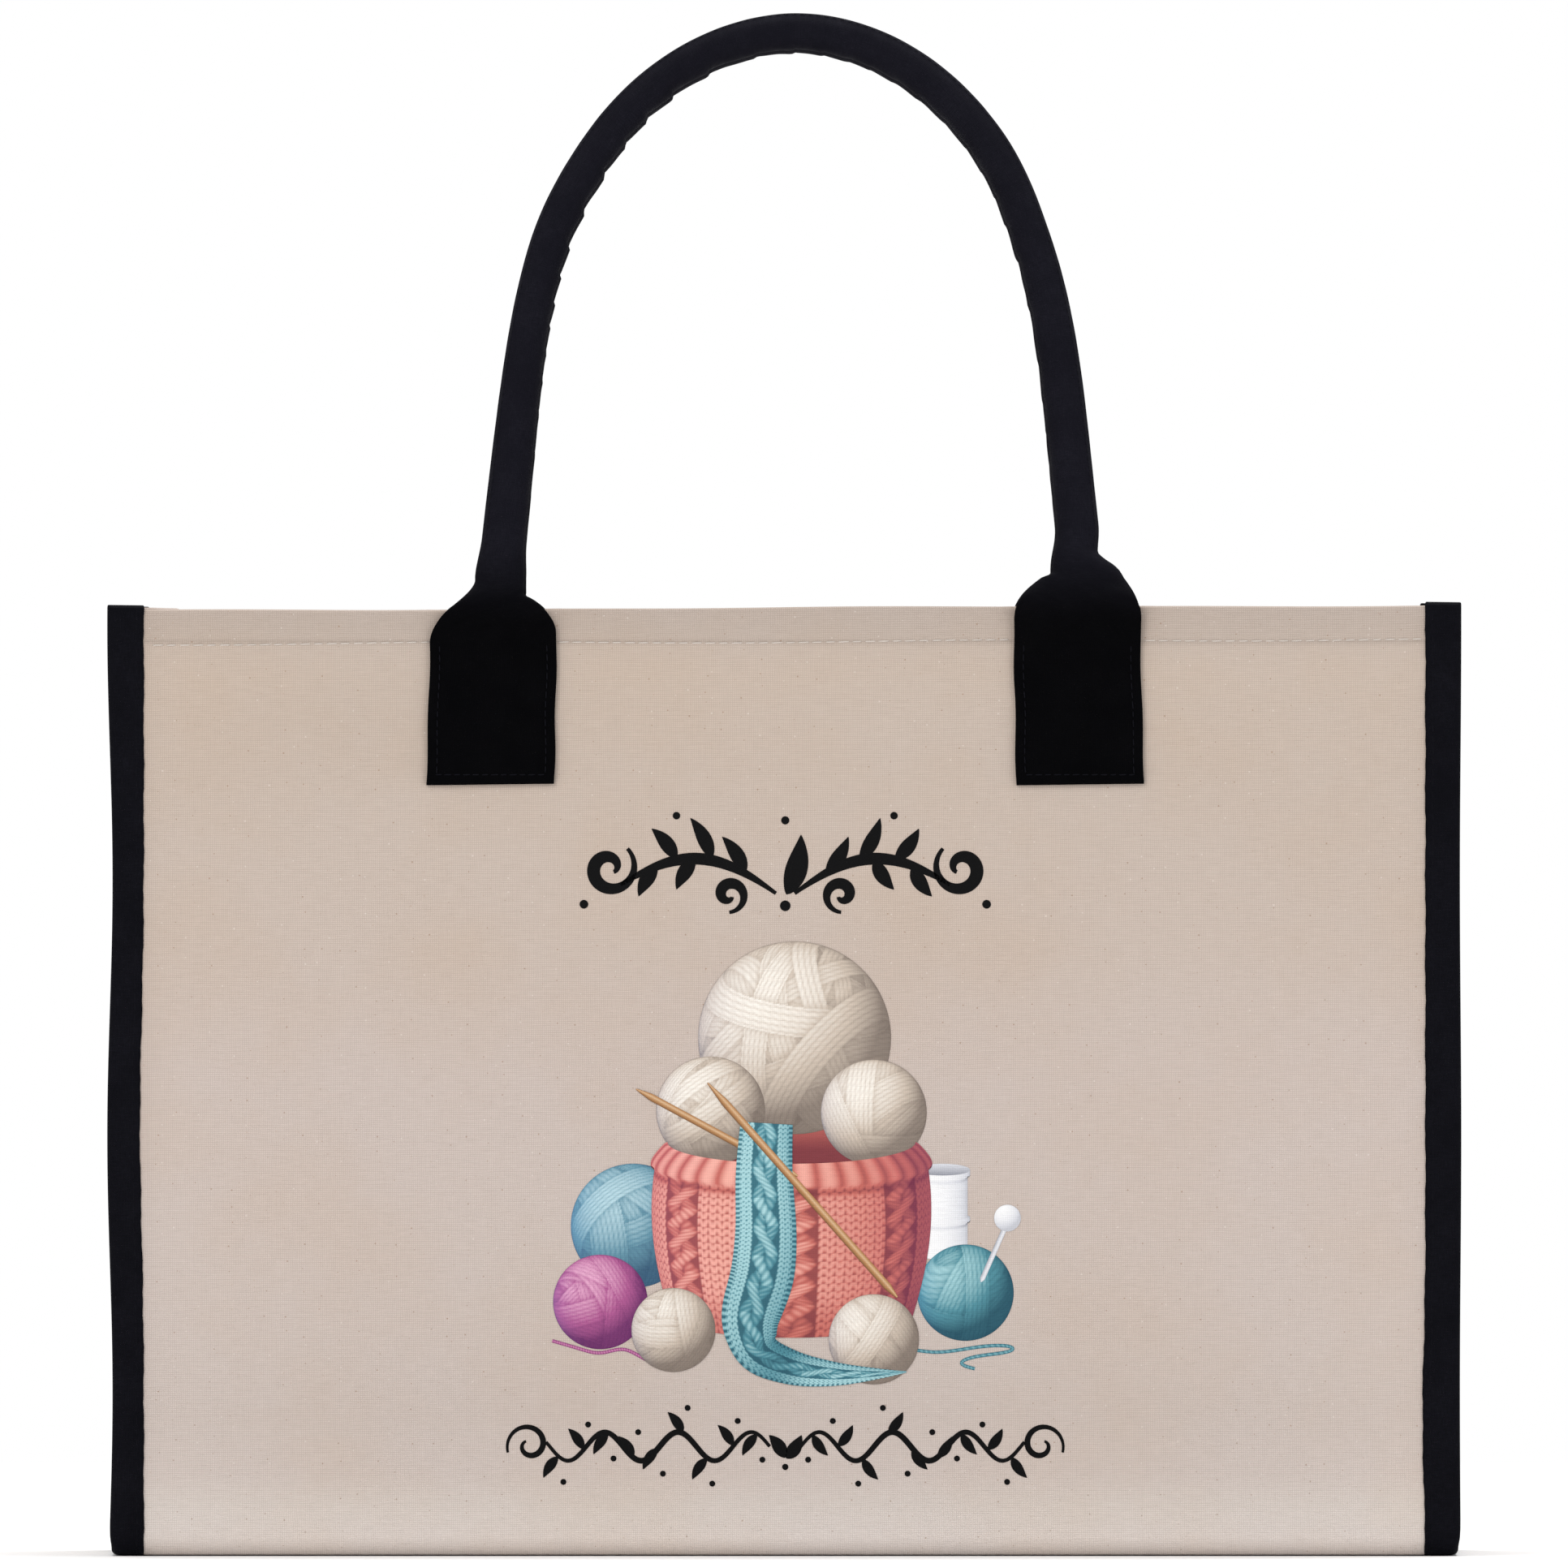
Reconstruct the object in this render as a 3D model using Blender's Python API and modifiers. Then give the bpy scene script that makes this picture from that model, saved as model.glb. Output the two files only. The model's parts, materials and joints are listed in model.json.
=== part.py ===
"""A boxy canvas knitting bag with bound side edges and two padded rope handles.

Frame: metres, +Z up, the bag's front faces -Y, and the origin is on the floor under the bag's middle.
The canvas body is one strip that runs down the front, under the base and up the back. A recessed
side panel closes each end, and a folded tape clamps the strip and the side panel together in a fin
that stands out sideways. Each handle is a rope in a cloth sleeve, and it swings on the necks of the
two tabs that hold it.
"""

import math

import bmesh
import bpy
import numpy as np
from mathutils import Vector

# Driving dimensions, in metres
WIDTH = 0.435  # over the two edge bindings
HEIGHT = 0.305  # from the floor to the canvas's top edge
DEPTH = 0.180  # outside of the front to outside of the back
FOLD_RADIUS = 0.006  # where the canvas turns under the base
CLOTH = 0.0015  # body canvas with its lining
SIDE_CLOTH = 0.0012  # the side panels' canvas
TAPE = 0.0006  # binding tape
GAP = 0.0003  # air left between touching pieces
FIN = 0.012  # how far the bound fin stands out sideways
BINDING_RISE = 0.0018  # how far the binding's folded ends stand above the canvas
HEM_HEIGHT = 0.011
HEM_FOLD = 0.0015  # the extra thickness that the turned-in hem adds
CREASE = 0.008  # how far the side panels fold inwards at the top

TAB_SPACING = 0.1888  # middle to middle of the two tabs on one face
TAB_WIDTH = 0.0417
TAB_BELOW = 0.057  # how far a tab reaches below the canvas's top edge
TAB_ABOVE = 0.0075  # how far its neck reaches above it
TAB_SHOULDER = 0.010  # how far below the canvas's top edge the shoulders begin
TAB_CORNER = 0.003
TAB_SHOULDER_POWER = 0.8  # under 1 makes the shoulders fuller than a quarter ellipse
NECK_STRAIGHT = 0.0006  # the short upright part at the top of the neck
TAB_THICKNESS = 0.002
NECK_WIDTH = 0.0160
BACKING_WIDTH = 0.038
BACKING_HEIGHT = 0.042
BACKING_THICKNESS = 0.0012

SLEEVE_RADIUS = 0.0061  # at the top of the arch
SLEEVE_SPREAD = 0.18  # how much wider the sleeve is where it meets the necks
SLEEVE_WALL = 0.0010
ARCH_BASE = 0.011  # the sleeve's ends above the canvas's top edge
ARCH_RISE = 0.1794  # along the handle, from the sleeve's ends to its middle line at the top
ARCH_HALF_WIDTH = 0.0772  # half the width of the arch without the splay of its legs
ARCH_HALF_FOOT = 0.0938  # half the distance between the legs' middle lines at the necks
ARCH_SIDE_POWER = 1.05  # powers of the cosine and the sine that round the arch
ARCH_TOP_POWER = 0.484
ARCH_POINTS = 31
CORE_RADIUS = 0.0047
CORE_INSET = 0.002  # the rope ends this far inside the sleeve

HINGE_ABOVE = 0.006  # the handles' swing axis above the canvas's top edge
HINGE_OUT = 0.0043  # and this far outside the tabs' middle plane
HANDLE_LEAN = math.radians(12)  # how far the standing handles lean in towards each other

BOARD_THICKNESS = 0.002
BOARD_CLEAR = 0.0015

POCKET_WIDTH = 0.170
POCKET_HEIGHT = 0.120
POCKET_BOTTOM = 0.110  # above the floor
POCKET_STAND = 0.0060  # how far the pocket's cloth bellies off the back
POCKET_CLOTH = 0.0012

HALF_WIDTH = WIDTH / 2
HALF_DEPTH = DEPTH / 2
BODY_HALF_WIDTH = HALF_WIDTH - TAPE - GAP
MARGIN_FACE = TAPE + GAP  # depth of the pressed margin that the tape lies in
FLANGE_FACE = CLOTH + GAP  # depth of the side panel's flange below the canvas's face
FLANGE_BACK = FLANGE_FACE + SIDE_CLOTH
FIN_THICKNESS = FLANGE_BACK + GAP + TAPE
WEB_OUTER = HALF_WIDTH - FIN - GAP  # outer face of the recessed side panel
WEB_INNER = WEB_OUTER - SIDE_CLOTH
OVERLAP = SIDE_CLOTH / 2  # how deep joined shapes run into each other
CUT_MARGIN = 0.005  # how far a cutter reaches past what it cuts
TAB_MIDDLE = -HALF_DEPTH - GAP - TAB_THICKNESS / 2  # Y of the front tabs' middle plane
ARC_STEPS = 6
FACING_X = (math.pi / 2, 0, math.pi / 2)  # turns a flat XY outline into the YZ plane
FACING_Y = (math.pi / 2, 0, 0)  # turns a flat XY outline into the XZ plane


def clear_scene():
    """Leave nothing of the startup scene."""
    for thing in list(bpy.data.objects):
        bpy.data.objects.remove(thing, do_unlink=True)


def new_collection(name):
    collection = bpy.data.collections.new(name)
    bpy.context.scene.collection.children.link(collection)
    return collection


def new_material(name, colour, roughness, metallic=0.0):
    material = bpy.data.materials.new(name)
    material.use_nodes = True
    shader = material.node_tree.nodes["Principled BSDF"]
    shader.inputs["Base Color"].default_value = (*colour, 1.0)
    shader.inputs["Roughness"].default_value = roughness
    shader.inputs["Metallic"].default_value = metallic
    return material


clear_scene()
PARTS = new_collection("knitting_bag")
HELPERS = new_collection("cutters")
CANVAS = new_material("natural_canvas", (0.62, 0.51, 0.43), 0.9)
BLACK_CLOTH = new_material("black_cloth", (0.012, 0.011, 0.013), 0.75)
BLACK_TAPE = new_material("black_tape", (0.015, 0.014, 0.018), 0.8)
ROPE = new_material("cotton_rope", (0.55, 0.5, 0.42), 0.95)
BOARD = new_material("grey_board", (0.35, 0.33, 0.3), 0.9)


# Shapes


def extruded(name, outline, low, high, rotation):
    """A flat outline as a closed plate between two places along the axis that it faces."""
    curve = bpy.data.curves.new(name, "CURVE")
    curve.dimensions = "2D"
    curve.fill_mode = "BOTH"
    curve.extrude = (high - low) / 2
    spline = curve.splines.new("POLY")
    spline.points.add(len(outline) - 1)
    for point, (across, up) in zip(spline.points, outline):
        point.co = (across, up, 0, 1)
    spline.use_cyclic_u = True
    plate = bpy.data.objects.new(name, curve)
    plate.rotation_euler = rotation
    middle = (low + high) / 2
    plate.location = (middle, 0, 0) if rotation == FACING_X else (0, middle, 0)
    PARTS.objects.link(plate)
    return as_mesh(plate)


def as_mesh(source):
    """The curve object made a mesh object with the same name and place, its caps welded on."""
    bpy.context.view_layer.update()
    evaluated = source.evaluated_get(bpy.context.evaluated_depsgraph_get())
    mesh = bpy.data.meshes.new_from_object(evaluated)
    shape = bmesh.new()
    shape.from_mesh(mesh)
    bmesh.ops.remove_doubles(shape, verts=shape.verts, dist=1e-6)
    bmesh.ops.recalc_face_normals(shape, faces=shape.faces)
    shape.to_mesh(mesh)
    shape.free()
    name = source.name
    place = source.matrix_world.copy()
    bpy.data.objects.remove(source, do_unlink=True)
    solid = bpy.data.objects.new(name, mesh)
    solid.matrix_world = place
    PARTS.objects.link(solid)
    return solid


def combine(target, other, operation):
    """Join the other shape to the target, or cut it away, and keep it as a hidden helper."""
    step = target.modifiers.new(f"{operation.lower()}_{other.name}", "BOOLEAN")
    step.operation = operation
    step.solver = "EXACT"
    step.object = other
    PARTS.objects.unlink(other)
    HELPERS.objects.link(other)
    other.hide_render = True
    other.display_type = "WIRE"


def finish(solid, material):
    solid.data.materials.clear()
    solid.data.materials.append(material)
    return solid


def strip_side(depth, top):
    """Half of the body strip's section at a depth below the canvas's face: up the back wall from the
    middle of the base, as (y, z) points. The fold is a quarter circle about the fold's own centre."""
    centre_y, centre_z = HALF_DEPTH - FOLD_RADIUS, FOLD_RADIUS
    radius = FOLD_RADIUS - depth
    turns = np.linspace(0, math.pi / 2, ARC_STEPS + 1)
    arc = [(centre_y + radius * math.sin(a), centre_z - radius * math.cos(a)) for a in turns]
    return arc + [(HALF_DEPTH - depth, top)]


def strip_outline(outer, inner, top):
    """Closed section of a band that follows the walls and the base between two depths."""
    outside = strip_side(outer, top)
    inside = strip_side(inner, top)
    around = [(-y, z) for y, z in reversed(outside)] + outside
    return around + inside[::-1] + [(-y, z) for y, z in inside]


def box_outline(left, right, low, high):
    return [(left, low), (right, low), (right, high), (left, high)]


# Canvas body


def make_body_panel():
    """The strip, with turned-in hems at its two ends and margins pressed thin for the binding."""
    panel = extruded(
        "body_panel", strip_outline(0, CLOTH, HEIGHT), -BODY_HALF_WIDTH, BODY_HALF_WIDTH, FACING_X
    )
    hem_reach = WEB_INNER - GAP
    for face, name in ((-1, "front_hem"), (1, "back_hem")):
        deep = sorted((face * (HALF_DEPTH - CLOTH / 2), face * (HALF_DEPTH - CLOTH - HEM_FOLD)))
        outline = box_outline(*deep, HEIGHT - HEM_HEIGHT, HEIGHT)
        combine(panel, extruded(name, outline, -hem_reach, hem_reach, FACING_X), "UNION")
    for side, name in ((-1, "left_margin"), (1, "right_margin")):
        across = sorted((side * (HALF_WIDTH - FIN - GAP), side * (HALF_WIDTH + CUT_MARGIN)))
        outline = strip_outline(-CUT_MARGIN, MARGIN_FACE, HEIGHT + CUT_MARGIN)
        combine(panel, extruded(name, outline, *across, FACING_X), "DIFFERENCE")
    return finish(panel, CANVAS)


def crease_inwards(web, side):
    """Bend the flat web into a soft fold: deepest on its middle line at the top, none at the base."""
    shape = bmesh.new()
    shape.from_mesh(web.data)
    shape.transform(web.matrix_world)
    web.matrix_world.identity()
    cuts = [(Vector((0, 0, 0)), Vector((0, 1, 0)))]
    cuts += [(Vector((0, 0, HEIGHT * part)), Vector((0, 0, 1))) for part in (0.25, 0.5, 0.75)]
    for point, normal in cuts:
        everything = shape.verts[:] + shape.edges[:] + shape.faces[:]
        bmesh.ops.bisect_plane(shape, geom=everything, plane_co=point, plane_no=normal, dist=1e-7)
    for corner in shape.verts:
        rise = corner.co.z / HEIGHT
        towards_middle = 1 - abs(corner.co.y) / HALF_DEPTH
        corner.co.x -= side * CREASE * rise * rise * (3 - 2 * rise) * towards_middle
    bmesh.ops.triangulate(shape, faces=shape.faces)
    shape.to_mesh(web.data)
    shape.free()


def make_gusset(side, name):
    """A recessed side panel whose seam allowance turns outwards into the fin on three edges."""
    across = sorted((side * WEB_OUTER, side * WEB_INNER))
    web_edge = strip_side(FLANGE_FACE + OVERLAP, HEIGHT)
    web_outline = [(-y, z) for y, z in reversed(web_edge)] + web_edge
    web = extruded(f"{name}_web", web_outline, *across, FACING_X)
    crease_inwards(web, side)
    reach = sorted((side * (WEB_INNER + OVERLAP / 2), side * BODY_HALF_WIDTH))
    flange = extruded(name, strip_outline(FLANGE_FACE, FLANGE_BACK, HEIGHT), *reach, FACING_X)
    combine(flange, web, "UNION")
    return finish(flange, CANVAS)


def make_binding(side, name):
    """Tape folded over the fin all the way round, with its two ends folded over at the top."""
    reach = sorted((side * (HALF_WIDTH - FIN), side * HALF_WIDTH))
    top = HEIGHT + BINDING_RISE
    tape = extruded(name, strip_outline(0, FIN_THICKNESS, top), *reach, FACING_X)
    slot_reach = sorted((side * (HALF_WIDTH - FIN - CUT_MARGIN), side * (HALF_WIDTH - TAPE)))
    slot = strip_outline(TAPE, FIN_THICKNESS - TAPE, HEIGHT + GAP)
    combine(tape, extruded(f"{name}_slot", slot, *slot_reach, FACING_X), "DIFFERENCE")
    return finish(tape, BLACK_TAPE)


def make_base_board():
    """A loose stiffener that keeps the base flat."""
    half_width = WEB_INNER - BOARD_CLEAR
    half_depth = HALF_DEPTH - FOLD_RADIUS
    low = CLOTH + GAP
    outline = box_outline(-half_width, half_width, -half_depth, half_depth)
    board = extruded("base_board", outline, 0, BOARD_THICKNESS, (0, 0, 0))
    board.location = (0, 0, low + BOARD_THICKNESS / 2)
    return finish(board, BOARD)


def make_inner_pocket():
    """An open-topped slip pocket on the inside of the back, bellied so that things slide in."""
    face = HALF_DEPTH - CLOTH - GAP
    low, high = POCKET_BOTTOM, POCKET_BOTTOM + POCKET_HEIGHT
    outline = box_outline(-POCKET_WIDTH / 2, POCKET_WIDTH / 2, low, high)
    pocket = extruded("inner_pocket", outline, face - POCKET_STAND - POCKET_CLOTH, face, FACING_Y)
    half = POCKET_WIDTH / 2 - POCKET_CLOTH
    hollow = box_outline(-half, half, low + POCKET_CLOTH, high + CUT_MARGIN)
    cut = extruded("pocket_hollow", hollow, face - POCKET_STAND, face + CUT_MARGIN, FACING_Y)
    combine(pocket, cut, "DIFFERENCE")
    return finish(pocket, CANVAS)


# Handles


def tab_outline(centre):
    """A flat bottle: round lower corners, straight sides, and shoulders that draw in to the neck."""
    half, neck = TAB_WIDTH / 2, NECK_WIDTH / 2
    low, shoulder, top = HEIGHT - TAB_BELOW, HEIGHT - TAB_SHOULDER, HEIGHT + TAB_ABOVE
    rise = top - NECK_STRAIGHT - shoulder
    turns = np.linspace(0, math.pi / 2, ARC_STEPS + 1)
    corner = [
        (half - TAB_CORNER + TAB_CORNER * math.sin(a), low + TAB_CORNER - TAB_CORNER * math.cos(a))
        for a in turns
    ]
    bend = [
        (neck + (half - neck) * math.cos(a), shoulder + rise * math.sin(a) ** TAB_SHOULDER_POWER)
        for a in turns
    ]
    right = corner + bend + [(neck, top)]
    return [(centre + x, z) for x, z in right] + [(centre - x, z) for x, z in reversed(right)]


def make_tab(face, side, name):
    """The stitched patch on the outside that carries one foot of a handle."""
    middle = face * abs(TAB_MIDDLE)
    faces = (middle - TAB_THICKNESS / 2, middle + TAB_THICKNESS / 2)
    return finish(extruded(name, tab_outline(side * TAB_SPACING / 2), *faces, FACING_Y), BLACK_CLOTH)


def make_backing(face, side, name):
    """The reinforcement patch on the inside, which the tab's stitches go through."""
    centre = side * TAB_SPACING / 2
    top = HEIGHT - HEM_HEIGHT - GAP
    outline = box_outline(
        centre - BACKING_WIDTH / 2, centre + BACKING_WIDTH / 2, top - BACKING_HEIGHT, top
    )
    near = HALF_DEPTH - CLOTH - GAP
    faces = sorted((face * near, face * (near - BACKING_THICKNESS)))
    return finish(extruded(name, outline, *faces, FACING_Y), BLACK_CLOTH)


def arch_line():
    """The handle's middle line as x and z offsets from the arch's foot, evenly spaced.

    A rounded arch x = a cos(t)^p, z = b sin(t)^q, whose legs splay out as they come down."""
    fine = 4001
    turn = np.linspace(0, math.pi / 2, fine)
    rise = np.sin(turn) ** ARCH_TOP_POWER
    splay = 1 + (ARCH_HALF_FOOT / ARCH_HALF_WIDTH - 1) * (1 - rise)
    x = ARCH_HALF_WIDTH * np.clip(np.cos(turn), 0, 1) ** ARCH_SIDE_POWER * splay
    z = ARCH_RISE * rise
    x = np.concatenate([x, -x[-2::-1]])
    z = np.concatenate([z, z[-2::-1]])
    length = np.concatenate([[0], np.cumsum(np.hypot(np.diff(x), np.diff(z)))])
    even = np.linspace(0, length[-1], ARCH_POINTS)
    return np.interp(even, length, x), np.interp(even, length, z), even


def arch_curve(name, pivot, radius, spread, inset, caps, sides):
    """A tube along the arch, with its own origin at the pivot, turned there to lean inwards."""
    x, z, along = arch_line()
    inside = (along >= inset) & (along <= along[-1] - inset)
    x, z = x[inside], z[inside]
    curve = bpy.data.curves.new(name, "CURVE")
    curve.dimensions = "3D"
    curve.bevel_depth = radius
    curve.bevel_resolution = sides
    curve.use_fill_caps = caps
    spline = curve.splines.new("POLY")
    spline.points.add(len(x) - 1)
    face = math.copysign(1, pivot.y)
    for point, across, up in zip(spline.points, x, z):
        point.co = (across, -face * HINGE_OUT, ARCH_BASE - HINGE_ABOVE + up, 1)
        point.radius = 1 + spread * (1 - up / ARCH_RISE) ** 2
    tube = bpy.data.objects.new(name, curve)
    tube.location = pivot
    tube.rotation_euler.x = face * HANDLE_LEAN
    PARTS.objects.link(tube)
    return as_mesh(tube)


def make_handle(face, name):
    """A rope in a sleeve of padded cloth. Both have their origin on the axis that they swing on."""
    pivot = Vector((0, face * (abs(TAB_MIDDLE) + HINGE_OUT), HEIGHT + HINGE_ABOVE))
    sleeve = arch_curve(f"{name}_sleeve", pivot, SLEEVE_RADIUS, SLEEVE_SPREAD, 0, False, 4)
    wall = sleeve.modifiers.new("wall", "SOLIDIFY")
    wall.thickness = SLEEVE_WALL
    wall.offset = -1
    finish(sleeve, BLACK_CLOTH)
    core = arch_curve(f"{name}_core", pivot, CORE_RADIUS, 0, CORE_INSET, True, 2)
    finish(core, ROPE)


make_body_panel()
make_base_board()
make_inner_pocket()
for side, side_name in ((-1, "left"), (1, "right")):
    make_gusset(side, f"{side_name}_gusset")
    make_binding(side, f"{side_name}_edge_binding")
for face, face_name in ((-1, "front"), (1, "back")):
    make_handle(face, f"{face_name}_handle")
    for side, side_name in ((-1, "left"), (1, "right")):
        make_tab(face, side, f"{face_name}_{side_name}_tab")
        make_backing(face, side, f"{face_name}_{side_name}_backing")
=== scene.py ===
# %% [markdown]
# # A canvas knitting bag
# The bag is one strip of natural canvas that runs down the front, under the base and up the back, with
# a recessed side panel at each end. Black tape clamps the seams, and two padded black handles grow out
# of stitched tabs. The CAD model gives every size and the two swing axes, so this lesson starts by
# loading it. Each soft solid is then replaced by cloth with folds, stitches and a weave.

# %% Load the frame
import json
import math

import bpy
import numpy as np
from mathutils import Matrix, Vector

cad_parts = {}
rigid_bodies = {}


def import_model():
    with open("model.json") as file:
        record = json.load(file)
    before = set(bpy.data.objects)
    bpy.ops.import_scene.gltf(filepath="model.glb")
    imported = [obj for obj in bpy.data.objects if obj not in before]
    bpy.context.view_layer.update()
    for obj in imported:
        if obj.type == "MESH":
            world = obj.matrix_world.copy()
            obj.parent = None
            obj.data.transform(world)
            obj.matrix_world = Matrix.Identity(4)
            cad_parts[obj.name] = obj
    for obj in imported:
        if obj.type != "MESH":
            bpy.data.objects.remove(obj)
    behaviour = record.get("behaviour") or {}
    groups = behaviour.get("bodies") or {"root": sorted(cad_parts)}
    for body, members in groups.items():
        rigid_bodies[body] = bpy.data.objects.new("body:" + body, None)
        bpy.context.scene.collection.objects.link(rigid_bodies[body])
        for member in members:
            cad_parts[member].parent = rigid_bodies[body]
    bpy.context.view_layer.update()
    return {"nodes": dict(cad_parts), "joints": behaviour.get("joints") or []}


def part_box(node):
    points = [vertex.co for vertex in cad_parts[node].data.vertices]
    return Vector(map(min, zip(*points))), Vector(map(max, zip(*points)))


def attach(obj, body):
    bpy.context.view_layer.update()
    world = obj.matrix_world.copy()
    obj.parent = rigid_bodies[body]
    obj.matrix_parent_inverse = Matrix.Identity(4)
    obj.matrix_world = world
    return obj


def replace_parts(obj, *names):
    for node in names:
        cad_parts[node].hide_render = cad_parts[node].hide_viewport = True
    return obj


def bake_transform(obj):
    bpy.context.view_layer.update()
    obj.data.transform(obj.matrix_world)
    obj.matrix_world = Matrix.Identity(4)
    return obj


for leftover in list(bpy.data.objects):
    bpy.data.objects.remove(leftover)
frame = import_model()

# %% [markdown]
# ## Measures from the CAD
# The sizes of the cloth come from the boxes of the solids, so that nothing has to be fitted afterwards.
# A millimetre is used as the unit for cloth, because hems, tape and stitches are all a few of them.

# %% Measures
MM = 0.001
canvas_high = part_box("body_panel")[1]
tape_low, tape_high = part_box("right_edge_binding")
tab_low, tab_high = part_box("front_right_tab")
joints = {joint["name"]: joint for joint in frame["joints"]}
TOP = canvas_high.z
HALF_DEPTH = canvas_high.y
HALF_WIDTH = tape_high.x
FIN = tape_high.x - tape_low.x
TAPE_TOP = tape_high.z
TAB_X = (tab_low.x + tab_high.x) / 2
TAB_HALF = (tab_high.x - tab_low.x) / 2
TAB_BOTTOM = tab_low.z
TAB_PLANE = -(tab_low.y + tab_high.y) / 2
HINGE_Z = joints["front_handle_swing"]["pos_m"][2]
HINGE_Y = -joints["front_handle_swing"]["pos_m"][1]
FOLD = 6 * MM
HEM = 11 * MM
CANVAS_THICK = 1.0 * MM
LOW_CREASE = 10 * MM
FACES = ((-1, "front"), (1, "back"))
SIDES = ((-1, "left"), (1, "right"))
print(f"canvas {2 * HALF_WIDTH:.3f} wide, {TOP:.3f} high, {2 * HALF_DEPTH:.3f} deep")

# %% [markdown]
# ## Meshes from grids of points
# Cloth is a surface with two directions, so almost every piece here is a grid of points that numpy
# works out as whole arrays. One helper numbers the corners of the quads, and a second writes the points,
# the quads, the end caps and a UV map in metres of cloth into a mesh. A UV map measured along the cloth
# keeps the weave the same size everywhere, also round folds.


# %% Grid helpers
join = np.concatenate


def smooth_step(x):
    """3x^2 - 2x^3 of x held between 0 and 1."""
    x = np.clip(x, 0, 1)
    return x * x * (3 - 2 * x)


def bell(x, width):
    """exp(-(x / width)^2), a bump of height 1 at 0."""
    return np.exp(-((x / width) ** 2))


def unit(vectors):
    """The same directions with length 1."""
    return vectors / np.linalg.norm(vectors, axis=-1, keepdims=True)


def run_of(line):
    """Length along a line of points, from its first point."""
    return join([[0], np.cumsum(np.linalg.norm(np.diff(line, axis=0), axis=1))])


def running_length(points, axis):
    """Length along one axis of a grid of points, added up from the grid's first edge."""
    step = np.linalg.norm(np.diff(points, axis=axis), axis=2)
    shape = [points.shape[0], points.shape[1]]
    shape[axis] = 1
    return join([np.zeros(shape), np.cumsum(step, axis=axis)], axis)


def grid_quads(rows, columns, around):
    """Corner numbers of each quad, and the same corners in a grid with one more column when the last
    column joins the first, which is how the UV map is stored."""
    width = columns if around else columns - 1
    r, c = np.meshgrid(np.arange(rows - 1), np.arange(width), indexing="ij")
    r, c = r.ravel(), c.ravel()
    right = (c + 1) % columns
    return [
        np.stack([r * wide + c, r * wide + after, (r + 1) * wide + after, (r + 1) * wide + c], 1)
        for after, wide in ((right, columns), (c + 1, width + 1))
    ]


def write_mesh(name, points, quads, quad_uv, caps=()):
    """A mesh object at the origin from an (n, 3) array of points, quads and optional many-sided caps."""
    mesh = bpy.data.meshes.new(name)
    mesh.vertices.add(len(points))
    mesh.vertices.foreach_set("co", points.astype(np.float32).ravel())
    loops = join([quads.ravel(), *caps]).astype(np.int32)
    cap_starts = len(quads) * 4 + np.cumsum([0, *map(len, caps)])[: len(caps)]
    starts = join([np.arange(len(quads)) * 4, cap_starts])
    mesh.loops.add(len(loops))
    mesh.loops.foreach_set("vertex_index", loops)
    mesh.polygons.add(len(starts))
    mesh.polygons.foreach_set("loop_start", starts.astype(np.int32))
    mesh.update(calc_edges=True)
    uv = np.zeros((len(loops), 2), np.float32)
    uv[: quads.size] = quad_uv.reshape(-1, 2)
    mesh.uv_layers.new(name="Cloth").data.foreach_set("uv", uv.ravel())
    mesh.polygons.foreach_set("use_smooth", np.ones(len(starts), bool))
    piece = bpy.data.objects.new(name, mesh)
    bpy.context.scene.collection.objects.link(piece)
    return piece


def cloth_grid(name, points, around=False, capped=False, uv=None):
    """A mesh object from a (rows, columns, 3) grid of points. Its UVs are given, or run in metres: across
    by each row's own length, and along by the average length of the columns."""
    rows, columns = points.shape[:2]
    quads, flat = grid_quads(rows, columns, around)
    if uv is None:
        unrolled = join([points, points[:, :1]], 1) if around else points
        along = running_length(unrolled, 0).mean(1, keepdims=True) + 0 * unrolled[..., 0]
        uv = np.stack([running_length(unrolled, 1), along], -1)
    first, last = np.arange(columns), (rows - 1) * columns + np.arange(columns)
    caps = (first[::-1], last) if capped else ()
    return write_mesh(name, points.reshape(-1, 3), quads, uv.reshape(-1, 2)[flat], caps)


def thicken(piece, thickness, even=True):
    """Give an open sheet its cloth's thickness, behind its face. Even thickness makes spikes where an
    edge is turned sharply, so it can be switched off."""
    wall = piece.modifiers.new("thickness", "SOLIDIFY")
    wall.thickness = thickness
    wall.offset = -1
    wall.use_even_offset = even
    return piece


def paint(piece, name, values):
    """Store one number or one colour per point of a piece, for its material to read."""
    kind = "FLOAT" if values.ndim == 1 else "FLOAT_COLOR"
    data = piece.data.attributes.new(name, kind, "POINT").data
    data.foreach_set("value" if values.ndim == 1 else "color", values.astype(np.float32).ravel())


def finish_piece(piece, material, body="bag"):
    """Give a piece its material, and let it ride on a body."""
    piece.data.materials.append(material)
    if body:
        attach(piece, body)
    print(f"{piece.name}: {len(piece.data.polygons)} faces")
    return piece


# %% [markdown]
# ## Cloth in nodes
# A woven cloth seen from a metre away is a colour with faint streaks, because some yarns are thicker
# than others, and close up it is a grid of small bumps. Two stretched noises make the thick yarns in the
# two directions, and the product of two sines makes the bumps of a plain weave. Both read the piece's
# own UV map. Cotton canvas that isn't bleached also keeps specks of seed husk, which are the rare small
# cells of a Voronoi texture.


# %% Node helpers
# Husk specks: cells per metre, the share of cells left out, radius in cells, strength and colour.
HUSKS = (
    (170.0, 0.72, 0.058, 0.5, (0.25, 0.13, 0.06, 1)),
    (420.0, 0.88, 0.11, 0.3, (0.36, 0.22, 0.13, 1)),
    (260.0, 0.90, 0.09, 0.4, (0.80, 0.74, 0.69, 1)),
)
DARK_SHEEN = 0.006
THREAD_TWIST = 0.25 * MM


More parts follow.
